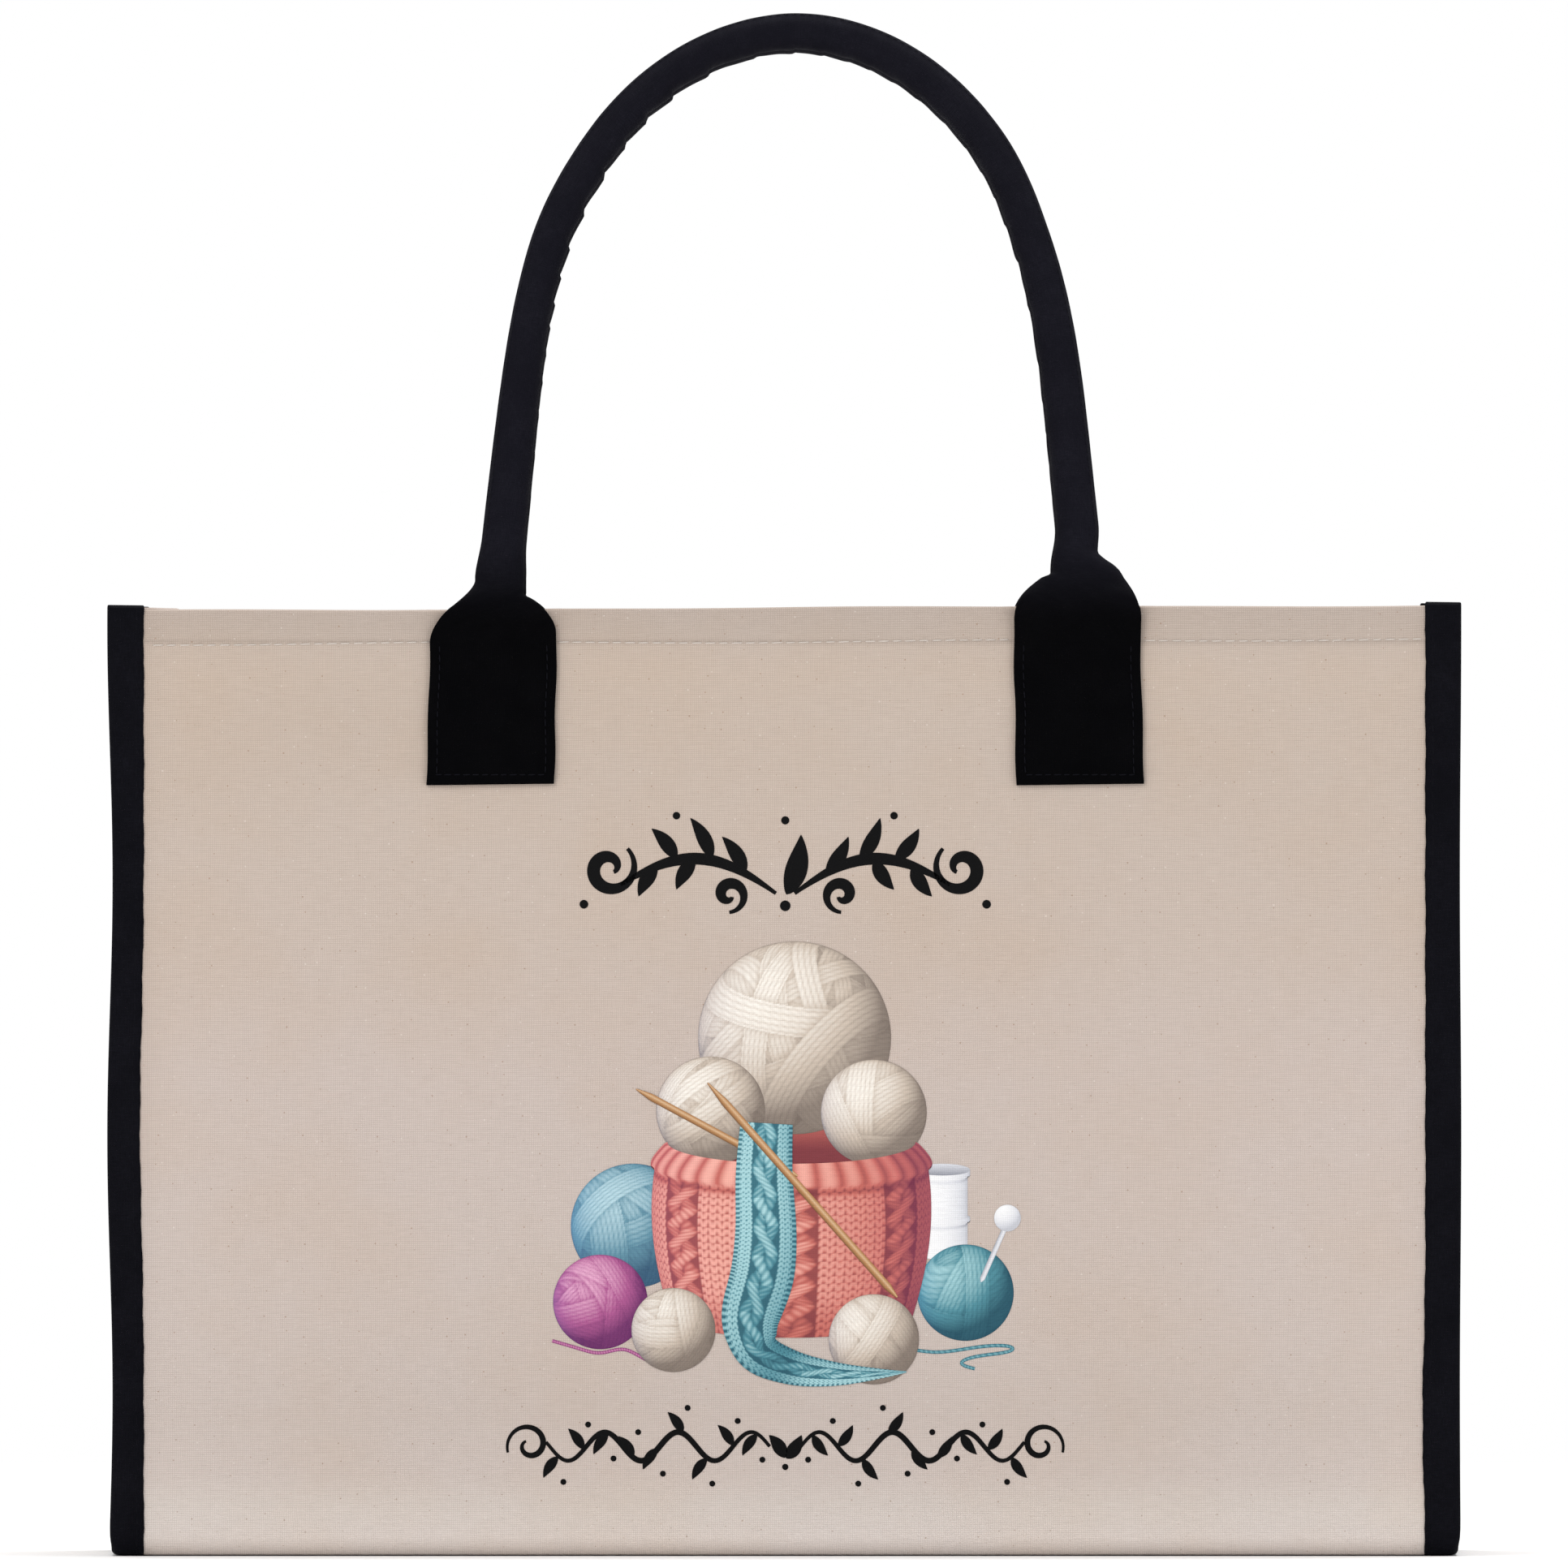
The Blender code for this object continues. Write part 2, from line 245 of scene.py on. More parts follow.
class Nodes:
    """Short calls for adding and joining the nodes of one material."""

    def __init__(self, name):
        self.material = bpy.data.materials.new(name)
        self.material.use_nodes = True
        self.tree = self.material.node_tree
        self.shader = self.tree.nodes["Principled BSDF"]

    def add(self, kind, inputs=None, **settings):
        node = self.tree.nodes.new(kind)
        for key, value in settings.items():
            setattr(node, key, value)
        for key, value in (inputs or {}).items():
            self.feed(node.inputs[key], value)
        return node

    def feed(self, socket, value):
        if isinstance(value, bpy.types.NodeSocket):
            self.tree.links.new(value, socket)
        else:
            socket.default_value = value

    def math(self, operation, *values):
        node = self.add("ShaderNodeMath", operation=operation)
        for socket, value in zip(node.inputs, values):
            self.feed(socket, value)
        return node.outputs[0]

    def range(self, value, low, high, to_low, to_high):
        inputs = {"Value": value, "From Min": low, "From Max": high, "To Min": to_low, "To Max": to_high}
        return self.add("ShaderNodeMapRange", inputs).outputs[0]

    def mix(self, share, first, second, blend="MIX"):
        node = self.add("ShaderNodeMix", data_type="RGBA", blend_type=blend)
        self.feed(node.inputs[0], share)
        self.feed(node.inputs[6], first)
        self.feed(node.inputs[7], second)
        return node.outputs[2]

    def noise(self, vector, scale, detail=2.0, roughness=0.5):
        inputs = {"Vector": vector, "Scale": scale, "Detail": detail, "Roughness": roughness}
        return self.add("ShaderNodeTexNoise", inputs).outputs[0]

    def yarns(self, vector, scale, detail=3.0, roughness=0.6):
        """Noise stretched along the direction with the smallest scale."""
        stretched = self.add("ShaderNodeMapping", {"Vector": vector, "Scale": scale})
        return self.noise(stretched.outputs[0], 1.0, detail, roughness)

    def times(self, first, second):
        return self.math("MULTIPLY", first, second)

    def plus(self, first, second):
        return self.math("ADD", first, second)

    def cloth(self):
        """The piece's own UV map, in metres of cloth."""
        return self.add("ShaderNodeUVMap", uv_map="Cloth").outputs[0]

    def painted(self, name, output="Color"):
        return self.add("ShaderNodeAttribute", attribute_name=name).outputs[output]

    def finish(self, colour, roughness, levels, height=None, strength=0.0, depth=0.0):
        """Feed the shader its colour, roughness, other levels and bump, and give the material back."""
        for name, value in {"Base Color": colour, "Roughness": roughness, **levels}.items():
            self.feed(self.shader.inputs[name], value)
        if height is not None:
            bump = self.add("ShaderNodeBump", {"Height": height, "Strength": strength, "Distance": depth})
            self.feed(self.shader.inputs["Normal"], bump.outputs[0])
        return self.material


def weave_height(nodes, uv, pitch, wander):
    """Height of a plain weave: |sin(pi u / pitch) sin(pi v / pitch)|, with the yarns made to wander."""
    push = nodes.noise(uv, 1 / (pitch * 9), 2.0)
    moved = nodes.add("ShaderNodeVectorMath", {0: uv, 3: wander * pitch}, operation="ADD")
    shift = nodes.add("ShaderNodeVectorMath", {0: push, 3: wander * pitch}, operation="SCALE")
    nodes.feed(moved.inputs[1], shift.outputs[0])
    parts = nodes.add("ShaderNodeSeparateXYZ", {0: moved.outputs[0]})
    waves = [nodes.math("SINE", nodes.times(parts.outputs[i], math.pi / pitch)) for i in (0, 1)]
    return nodes.math("ABSOLUTE", nodes.times(*waves))


def canvas_material(name, colour, dark_colour):
    """Natural cotton canvas: weave, faint streaks, husk specks, tan clouds and the painted tone, which
    holds painted light and shade. The hollows of the weave are painted darker as painted shade.
    """
    nodes = Nodes(name)
    uv = nodes.cloth()
    weft = nodes.yarns(uv, (150, 1900, 1))
    warp = nodes.yarns(uv, (1900, 150, 1))
    streaks = nodes.plus(nodes.times(weft, 0.66), nodes.times(warp, 0.34))
    bumps = weave_height(nodes, uv, 0.68 * MM, 0.9)
    cloud = nodes.noise(uv, 13.0, 4.0, 0.6)
    tone = nodes.painted("Tone")
    # The colour follows the thick yarns and also the height of the weave. Its hollows are painted darker
    # as painted shade.
    share = nodes.plus(nodes.range(streaks, 0.3, 0.7, 0.06, 0.38), nodes.times(bumps, 0.7))
    base = nodes.mix(share, dark_colour, colour)
    tan = nodes.mix(1.0, base, (0.975, 0.925, 0.86, 1), "MULTIPLY")
    base = nodes.mix(nodes.range(cloud, 0.42, 0.66, 0.0, 0.5), base, tan)
    base = nodes.mix(1.0, base, tone, "MULTIPLY")
    for scale, rarest, radius, strength, speck_colour in HUSKS:
        cells = nodes.add("ShaderNodeTexVoronoi", {"Vector": uv, "Scale": scale}, voronoi_dimensions="2D")
        pick = nodes.add("ShaderNodeSeparateColor", {0: cells.outputs["Color"]})
        rare = nodes.math("GREATER_THAN", pick.outputs[0], rarest)
        size = nodes.times(nodes.range(pick.outputs[1], 0, 1, 0.5, 1.0), radius)
        edge = nodes.math("DIVIDE", cells.outputs["Distance"], size)
        speck = nodes.times(nodes.range(edge, 0.6, 1.0, strength, 0.0), rare)
        base = nodes.mix(speck, base, speck_colour)
    levels = {"Specular IOR Level": 0.2, "Sheen Weight": 0.05}
    return nodes.finish(base, 0.92, levels, nodes.plus(bumps, nodes.times(streaks, 1.6)), 0.45, 0.14 * MM)


def dark_cloth_material(name, colour, pale, pitch, roughness):
    """Dyed black cotton: yarns catch a little light, and lint and rubbed places are a shade paler."""
    nodes = Nodes(name)
    uv = nodes.cloth()
    weft = nodes.yarns(uv, (300, 2600, 1), 2.0)
    warp = nodes.yarns(uv, (2600, 300, 1), 2.0)
    worn = nodes.noise(uv, 55.0, 4.0, 0.65)
    streaks = nodes.times(nodes.plus(weft, warp), 0.5)
    lit, rubbed = nodes.range(streaks, 0.35, 0.7, 0.0, 1.0), nodes.range(worn, 0.35, 0.7, 0.25, 1.0)
    share = nodes.times(lit, rubbed)
    # The painted tone multiplies the colour. On the handle covers it is painted light, with the tabs
    # darker than the tube.
    tone = nodes.painted("Tone", "Fac")
    base = nodes.mix(1.0, nodes.mix(share, colour, pale), tone, "MULTIPLY")
    rough = nodes.range(worn, 0.3, 0.7, roughness + 0.08, roughness - 0.08)
    levels = {"Specular IOR Level": 0.03, "Sheen Weight": DARK_SHEEN, "Sheen Roughness": 0.45}
    levels["Sheen Tint"] = (0.75, 0.72, 0.85, 1)
    height = nodes.plus(weave_height(nodes, uv, pitch, 0.4), nodes.times(streaks, 1.2))
    return nodes.finish(base, rough, levels, height, 0.5, 0.15 * MM)


def thread_material(name, colour, roughness):
    """Sewing thread: a twist of fine diagonal lines on the piece's own UV map."""
    nodes = Nodes(name)
    uv = nodes.cloth()
    parts = nodes.add("ShaderNodeSeparateXYZ", {0: uv})
    twist = nodes.math("SINE", nodes.times(nodes.plus(*parts.outputs[:2]), math.pi / THREAD_TWIST))
    # The lines between the twists are painted darker: painted shade.
    dark = tuple(0.7 * c for c in colour[:3]) + (1,)
    base = nodes.mix(nodes.range(twist, -1, 1, 0, 1), dark, colour)
    return nodes.finish(base, roughness, {"Specular IOR Level": 0.06})


CANVAS = canvas_material("natural_canvas", (0.64, 0.552, 0.51, 1), (0.44, 0.365, 0.325, 1))
HANDLE_CLOTH = dark_cloth_material(
    "black_handle_cloth", (0.0062, 0.0060, 0.0096, 1), (0.0135, 0.0130, 0.0195, 1), 0.45 * MM, 0.72
)
BINDING_TAPE = dark_cloth_material(
    "black_binding_tape", (0.0032, 0.0032, 0.0048, 1), (0.0080, 0.0078, 0.0118, 1), 0.55 * MM, 0.7
)
PALE_THREAD = thread_material("natural_thread", (0.71, 0.64, 0.58, 1), 0.8)
BLACK_THREAD = thread_material("black_thread", (0.0055, 0.0055, 0.0085, 1), 0.7)

# %% [markdown]
# ## The line that the canvas follows
# From the side the strip is a plain U: down the front, round a soft fold, along the floor and up the
# back. Tape and seam allowances follow the same U a little deeper, so one function gives it at any
# depth. It could be a curve object, but points with their outward directions are needed to add hems and
# sag, and arrays give both at once.


# %% The U line
def u_line(depth, top, spacing):
    """Points (y, z) and outward directions of the U at a depth inside the canvas's face. The wall is
    straight, the fold is a quarter circle of radius FOLD - depth, and the base is straight."""
    wall = np.linspace(top, FOLD, max(2, int((top - FOLD) / spacing)))
    turn = np.linspace(0, math.pi / 2, 9)[1:]
    base = np.linspace(-(HALF_DEPTH - FOLD), 0, max(2, int(HALF_DEPTH / spacing)))[1:]
    radius = FOLD - depth
    up, flat = np.ones(len(wall)), np.ones(len(base))
    y = join([(depth - HALF_DEPTH) * up, -HALF_DEPTH + FOLD - radius * np.cos(turn), base])
    z = join([wall, FOLD - radius * np.sin(turn), depth * flat])
    out_y, out_z = join([-up, -np.cos(turn), 0 * flat]), join([0 * up, -np.sin(turn), -flat])
    halves = ((y, -1), (z, 1), (out_y, -1), (out_z, 1))
    return [join([half, sign * half[-2::-1]]) for half, sign in halves]


# %% [markdown]
# ## How the canvas bulges
# Stiff canvas is nearly flat, but it isn't a plate. It bellies out a little, dips along the stitches,
# sinks under the tape, and is pulled in round the tabs. One function gives the distance that it stands
# proud at any place on a wall, so that the print, the tabs and the stitches can sit exactly on it.


# %% The relief of a wall
HEM_LINE = TOP - HEM


def wall_relief(x, z, face):
    """Outward distance of the canvas at (x, z): a belly (1 - (x/W)^2) sin(pi z/H), slow waves, a groove
    exp(-(dz/w)^2) along the hem's stitches with puckers beside it, and a step down under the tape."""
    wide, high = x / (HALF_WIDTH - FIN), np.clip(z / TOP, 0, 1)
    belly = 2.2 * MM * np.clip(1 - wide**2, 0, 1) * np.sin(math.pi * high) ** 1.3
    waves = 0.35 * MM * np.sin(19 * x + 1.3 + face) * np.sin(12 * z + 0.4 * face)
    waves += 0.22 * MM * np.sin(47 * x - 21 * z + 2.1) * np.sin(math.pi * high)
    from_stitch = z - HEM_LINE
    groove = -0.28 * MM * bell(from_stitch, 0.9 * MM)
    near_stitch = np.exp(-np.abs(from_stitch) / (3.5 * MM))
    puckers = 0.11 * MM * np.sin(x / (1.9 * MM) + 2 * np.sin(31 * x)) * near_stitch
    fold = -0.25 * MM * bell(z - LOW_CREASE, 1.4 * MM)
    tab_gap = np.abs(np.abs(x) - TAB_X) - TAB_HALF
    below_tab = np.clip((z - TAB_BOTTOM) / (4 * MM), 0, 1)
    pull = -0.45 * MM * bell(tab_gap, 5 * MM) * below_tab
    past_tape = np.abs(x) - (HALF_WIDTH - FIN)
    pressed = -0.9 * MM * smooth_step((past_tape - 2.6 * MM) / (1.4 * MM))
    free = 1 - smooth_step(past_tape / (14 * MM) + 1)
    lines = groove + puckers + fold + pull
    return (belly + waves) * free * smooth_step(z / (30 * MM)) + lines * free**0.2 + pressed


def canvas_y(x, z, face):
    """The Y of the canvas's outer face at (x, z) on the front (face -1) or the back (face 1)."""
    return face * (HALF_DEPTH + wall_relief(x, z, face))


# %% [markdown]
# ## The canvas body
# The real body is a strip about 0.81 m long, with 11 mm turned in and stitched at each end. Five flat
# plates would show sharp corners and no hem, so the strip is one grid whose rows follow the U line, roll
# over the top edge and come 11 mm down the inside. Rows and columns are closer together at the hem and
# at the tape, where the shape changes fast.

# %% The canvas body
HEM_ROLL = 1.2 * MM
FINE_TOP = TOP - 15 * MM
# Heights above the floor, and the red, green and blue factors of the canvas at them.
# These factors are painted light: the canvas is much brighter and greyer near the floor, and darker and
# tanner towards the top.
LIGHT_TINT_HEIGHTS = (0, 0.008, 0.016, 0.026, 0.045, 0.155, 0.195, 0.250, 0.285, TOP)
LIGHT_TINTS = (
    (1.30, 1.33, 1.215, 1.11, 1.03, 1.0, 0.975, 0.960, 0.965, 0.904),
    (1.36, 1.41, 1.28, 1.135, 1.045, 1.0, 0.960, 0.945, 0.94, 0.889),
    (1.39, 1.45, 1.30, 1.15, 1.05, 1.0, 0.925, 0.90, 0.88, 0.855),
)


def body_section():
    """The strip's section as (y, z), outward directions and a mark that is 1 on walls and 0 elsewhere."""
    rise = np.linspace(HEM_LINE + 0.4 * MM, TOP - HEM_ROLL, 8)
    roll = np.linspace(0, math.pi, 9)[1:-1]
    top_rows = np.linspace(TOP - HEM_ROLL, FINE_TOP, 24)[:-1]
    hem, wall = np.ones(len(rise)), np.ones(len(top_rows))
    out_y, out_z = join([hem, np.cos(roll), -wall]), join([0 * hem, np.sin(roll), 0 * wall])
    z = join([rise, TOP - HEM_ROLL + HEM_ROLL * out_z[len(rise) : -len(top_rows)], top_rows])
    ends = ((HEM_ROLL - HALF_DEPTH + HEM_ROLL * out_y, -1), (z, 1), (out_y, -1), (out_z, 1))
    middle = u_line(0, FINE_TOP, 3.4 * MM)
    section = [join([end, line, sign * end[::-1]]) for (end, sign), line in zip(ends, middle)]
    on_wall = np.where(section[0] < 0, -section[2], section[2])
    return (*section, np.clip(on_wall, -1, 1))


def make_canvas_body():
    y, z, out_y, out_z, on_wall = body_section()
    edge = HALF_WIDTH - 3.2 * MM
    inner = HALF_WIDTH - FIN - 3 * MM
    margin = np.linspace(inner, edge, 13)
    x = join([-margin[::-1], np.linspace(-inner, inner, 126)[1:-1], margin])[::-1]
    face = np.where(y < 0, -1.0, 1.0)
    across, up = np.meshgrid(x, z)
    relief = wall_relief(across, up, face[:, None]) * np.abs(on_wall)[:, None]
    relief = np.where(on_wall[:, None] < 0, -relief, relief)
    top_wave = 0.004 * across + 0.2 * MM * np.sin(23 * across + 0.7) + 0.12 * MM * np.sin(61 * across)
    height = up + out_z[:, None] * relief + top_wave * smooth_step((up - HEM_LINE) / HEM)
    points = np.stack([across, y[:, None] + out_y[:, None] * relief, height], -1)
    over_tape = smooth_step((np.abs(across) - (HALF_WIDTH - FIN + 2.4 * MM)) / (1.2 * MM))
    points[..., 2] -= 0.8 * MM * over_tape * out_z[:, None]
    piece = cloth_grid("canvas_body", points)
    paint(piece, "Tone", canvas_tone_and_painted_light(across, up).reshape(-1, 4))
    thicken(piece, CANVAS_THICK, even=False)
    return piece


def canvas_tone_and_painted_light(x, z):
    """Colour factors of the canvas. Painted light makes it tan and darker at the top, and paler and greyer
    lower down. It is a little darker over the hem. Painted shade lies in the groove of the hem's stitches,
    beside the tape and in the low crease. A patch at the upper left is darker."""
    hem = -0.065 * smooth_step((z - HEM_LINE + 0.6 * MM) / (1.2 * MM))
    # Painted shade: darker in the groove of the hem's stitches, beside the raised edge of the tape and in
    # the low crease.
    line = -0.12 * bell(z - HEM_LINE, 0.7 * MM)
    tape_edge_shade = -0.05 * np.exp(-(np.abs(HALF_WIDTH - FIN - np.abs(x)) / (3 * MM)))
    fold = -0.03 * bell(z - LOW_CREASE, 1.2 * MM)
    upper_left = -0.03 * np.exp(-(((x + 0.13) / 0.05) ** 2) - ((z - TOP + 0.035) / 0.02) ** 2)
    painted_light = [np.interp(z, LIGHT_TINT_HEIGHTS, factors) for factors in LIGHT_TINTS]
    shade = 1 + hem + line + tape_edge_shade + fold + upper_left
    return np.stack([*(tint * shade for tint in painted_light), 1 + 0 * z], -1)


canvas_body = finish_piece(make_canvas_body(), CANVAS)
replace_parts(canvas_body, "body_panel")

# %% [markdown]
# ## Rows of stitches
# A running stitch is a short piece of thread that lies on the cloth and dives into it at both ends. There
# are hundreds of them, so each is a small capsule of two dozen faces. All the stitches of a seam are
# worked out at once: places along the seam, times the rings of a capsule, times the points of a ring.


# %% Stitches
def resample(line, spacing):
    """Points evenly spaced along a line of points, and the unit direction of the line at each."""
    length = run_of(line)
    at = np.arange(spacing / 2, length[-1], spacing)
    place, ahead, behind = (
        np.stack([np.interp(at + share * spacing, length, column) for column in line.T], 1)
        for share in (0, 0.2, -0.2)
    )
    return place, unit(ahead - behind), at, length


def stitch_row(line, normals, pitch, length, width, turn=0.0):
    """Capsules along a seam: centre + t u L/2 + (b cos a + n sin a) w r(u), where r is 1 in the middle and
    falls to 0.35 at the ends, which also sink along n. Turn leans each stitch sideways a little."""
    place, way, at, run = resample(line, pitch)
    normals = np.broadcast_to(np.array(normals, float), line.shape)
    out = np.stack([np.interp(at, run, column) for column in normals.T], 1)
    side = np.cross(out, way)
    way = way + turn * side
    u = np.array([-1, -0.75, 0, 0.75, 1])
    angle = np.arange(6) * math.pi / 3
    thick = np.array([0.35, 0.9, 1.0, 0.9, 0.35])[:, None] * width / 2
    wobble = 1 + 0.12 * np.sin(at * 900)[:, None, None, None]
    along = way[:, None, None] * (u * length / 2)[None, :, None, None] * wobble
    sideways = (thick * np.cos(angle))[None, :, :, None]
    outwards = (0.8 * thick * np.sin(angle) - 0.3 * width * u[:, None] ** 4)[None, :, :, None]
    ring = side[:, None, None] * sideways + out[:, None, None] * outwards
    return place[:, None, None] + along + ring


def stitches(name, rows, material, body="bag"):
    """One object of many capsules, each five rings of six points with a cap at both ends."""
    points = join(rows)
    count, rings, around = points.shape[:3]
    quads, flat = grid_quads(rings, around, True)
    starts = np.arange(count)[:, None, None] * rings * around
    across, along = np.meshgrid(np.arange(around + 1) * THREAD_TWIST, np.arange(rings) * 0.9 * MM)
    uv = np.stack([across, along], -1).reshape(-1, 2)[flat]
    ends = np.stack([np.arange(around)[::-1], (rings - 1) * around + np.arange(around)])
    caps = list((starts + ends[None]).reshape(-1, around))
    quads = (starts + quads[None]).reshape(-1, 4)
    piece = write_mesh(name, points.reshape(-1, 3), quads, np.tile(uv, (count, 1, 1)), caps)
    return finish_piece(piece, material, body)


# %% [markdown]
# ## Stitches of the top hems
# The hems of the front and the back are held by a line of natural thread 11 mm below the edge, which
# stops at the tape and passes under the tabs.


# %% Hem stitches
def hem_rows():
    """Running stitches at the height of the hem's seam on both walls, outside and inside."""
    rows = []
    reach = HALF_WIDTH - FIN - 1.5 * MM
    near, far = TAB_X - TAB_HALF, TAB_X + TAB_HALF
    spans = ((-reach, -far), (-near, near), (far, reach))
    for face in (-1, 1):
        for low, high in spans:
            x = np.linspace(low, high, 160)
            z = HEM_LINE + 0.35 * MM * np.sin(37 * x + face) + 0.004 * x
            line = np.stack([x, canvas_y(x, z, face) + face * 0.16 * MM, z], 1)
            rows.append(stitch_row(line, (0, face, 0), 4.3 * MM, 3.2 * MM, 0.52 * MM, 0.03))
        x = np.linspace(-reach, reach, 300)
        z = HEM_LINE + 1.4 * MM + 0 * x
        inside = face * (HALF_DEPTH - 2.45 * MM + wall_relief(x, z, face))
        line = np.stack([x, inside, z], 1)
        rows.append(stitch_row(line, (0, -face, 0), 4.1 * MM, 3.1 * MM, 0.42 * MM))
    return rows


stitches("hem_stitches", hem_rows(), PALE_THREAD)

# %% [markdown]
# ## Side panels
# Each end is closed by a panel of the same canvas. It sits 12 mm back from the edges of the bag, and its
# margins turn outwards into the taped fins. A flat rectangle would need square bottom corners, so the
# grid's rows run from the U-shaped seam to the middle line of the panel, where the two halves meet. The
# middle is pressed in along an upright crease, as it is when such a bag is folded for carrying home.

# %% Side panels
WEB = HALF_WIDTH - FIN - 0.9 * MM
SEAM_DEPTH = 3.3 * MM
WEB_BEND = 2.2 * MM
WEB_FOOT = 26 * MM


def gusset_u():
    """The rows: the panel's hem on the inside, its rolled top edge, and the U from top to top. It gives
    (y, z, out_y, out_z) of the U, the inward step of the hem, and how far down the middle line each is."""
    y, z, out_y, out_z = u_line(0, TOP - HEM_ROLL, 4 * MM)
    half = len(y) // 2
    roll = np.linspace(0, math.pi, 7)[1:]
    rolled_z = TOP - HEM_ROLL + HEM_ROLL * np.sin(roll)
    hem_z = join([rolled_z, np.linspace(TOP - 2.5 * MM, HEM_LINE, 5)])[::-1]
    hem_in = join([HEM_ROLL * (1 - np.cos(roll)), np.full(5, 2 * HEM_ROLL)])[::-1]
    ones = np.ones(len(hem_z))
    y = join([-HALF_DEPTH * ones, y, HALF_DEPTH * ones])
    z = join([hem_z, z, hem_z[::-1]])
    out_y = join([-ones, out_y, ones])
    out_z = join([0 * ones, out_z, 0 * ones])
    step_in = join([hem_in, np.zeros(2 * half + 1), hem_in[::-1]])
    down = join([0 * ones, 1 - np.abs(np.linspace(-1, 1, 2 * half + 1)), 0 * ones])
    middle_z = np.where(step_in > 0, z, TOP - HEM_ROLL - (TOP - HEM_ROLL - WEB_FOOT) * down**1.15)
    return y, z, out_y, out_z, step_in, middle_z


def make_side_panel(side, name):
    y, z, out_y, out_z, step_in, middle_z = gusset_u()
    turn = np.linspace(0, math.pi / 2, 5)
    in_seam = join([np.ones(6), np.cos(turn)])
    margin = join([np.linspace(FIN - 3.4 * MM, 3.2 * MM, 6), WEB_BEND * (1 - np.sin(turn))])
    depth = SEAM_DEPTH + WEB_BEND * (1 - in_seam)
    inward = np.linspace(0, 1, 34)[1:]
    edge_y, edge_z = y - out_y * depth[-1], z - out_z * depth[-1]
    seam_share = join([in_seam, 0 * inward])
    web_y = edge_y[:, None] * (1 - inward)
    web_z = edge_z[:, None] + (middle_z - edge_z)[:, None] * inward**1.2
    depth = depth - 1.05 * MM * in_seam * (step_in / (2 * HEM_ROLL))[:, None]
    rim_y, rim_z = y[:, None] - out_y[:, None] * depth, z[:, None] - out_z[:, None] * depth
    grid_y, grid_z = join([rim_y, web_y], 1), join([rim_z, web_z], 1)
    out_of_web = join([margin, 0 * inward])
    off_middle = np.abs(grid_y) / HALF_DEPTH
    high = np.clip(grid_z / TOP, 0, 1)
    softened = 1 - 0.06 * bell(grid_y, 2.5 * MM)
    crease = 7.5 * MM * np.clip(1 - off_middle, 0, 1) ** 1.7 * high**1.5 * softened
    soft = 0.5 * MM * np.sin(34 * grid_z + 1 + side) * np.sin(40 * grid_y + side)
    soft = soft * np.clip(1 - off_middle**4, 0, 1)
    sag = 1.1 * MM * np.sin(math.pi * off_middle) * np.clip(1 - high, 0, 1)
    in_web = join([0 * margin, smooth_step(inward * 6)])
    stitch_dip = 0.2 * MM * bell(grid_z - HEM_LINE, 0.9 * MM)
    relief = in_web * (soft + sag - crease - stitch_dip)
    x = WEB + out_of_web - step_in[:, None] * (1 - seam_share) + relief
    points = np.stack([side * x, grid_y, grid_z], -1)
    along = np.where(step_in[:, None] > 0, 2 * TOP - z[:, None], grid_z)
    uv = np.stack([grid_y + np.sign(grid_y) * out_of_web, along], -1)
    rows, columns = points.shape[:2]
    quads, flat = grid_quads(rows, columns, False)
    partner = np.arange(rows * columns)
    last = np.arange(rows) * columns + columns - 1
    partner[last[rows // 2 + 1 :]] = last[: rows // 2][::-1]
    quads, quad_uv = partner[quads], uv.reshape(-1, 2)[flat]
    kept = np.unique(quads)
    quads = np.searchsorted(kept, quads)
    if side > 0:
        quads, quad_uv = quads[:, ::-1], quad_uv[:, ::-1]
    piece = write_mesh(name, points.reshape(-1, 3)[kept], quads, quad_uv)
    # Painted shade: darker along the middle crease, more so higher up where the crease is deeper. The
    # panel is also a little darker over the hem.
    tone = 0.99 - 0.05 * bell(grid_y, 1.5 * MM) * high
    tone = tone - 0.05 * smooth_step((grid_z - HEM_LINE + 0.6 * MM) / (1.2 * MM))
    paint(piece, "Tone", tone.reshape(-1)[kept])
    thicken(piece, CANVAS_THICK)
    return piece


for side, side_name in SIDES:
    panel = finish_piece(make_side_panel(side, f"{side_name}_side_panel"), CANVAS)
    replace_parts(panel, f"{side_name}_gusset")

# %% [markdown]
# ## Edge tape
# Black tape is folded over the raw edges of the canvas and the side panel and stitched through all of
# them, from the top of the front to the top of the back. Its section is a C: a leg on the face, a round
# fold at the edge and a leg inside. Sweeping that C along the U gives the tape, and its inner edge
# wanders by up to two millimetres because it is sewn by hand. At the ends the tape is tucked in, so
# the two legs of the C close on each other over the raw edge.

# %% Edge tape
TAPE_THICK = 0.5 * MM
FIN_THICK = 4.0 * MM
FOLD_REACH = 2.0 * MM
END_ROUND = 1.5 * MM
# The left tape ends this much lower at its top than the right one.
LEFT_DROP = 1.0 * MM
# Slope of the cut ends of tape and tabs.
CUT_SLOPE = 0.012


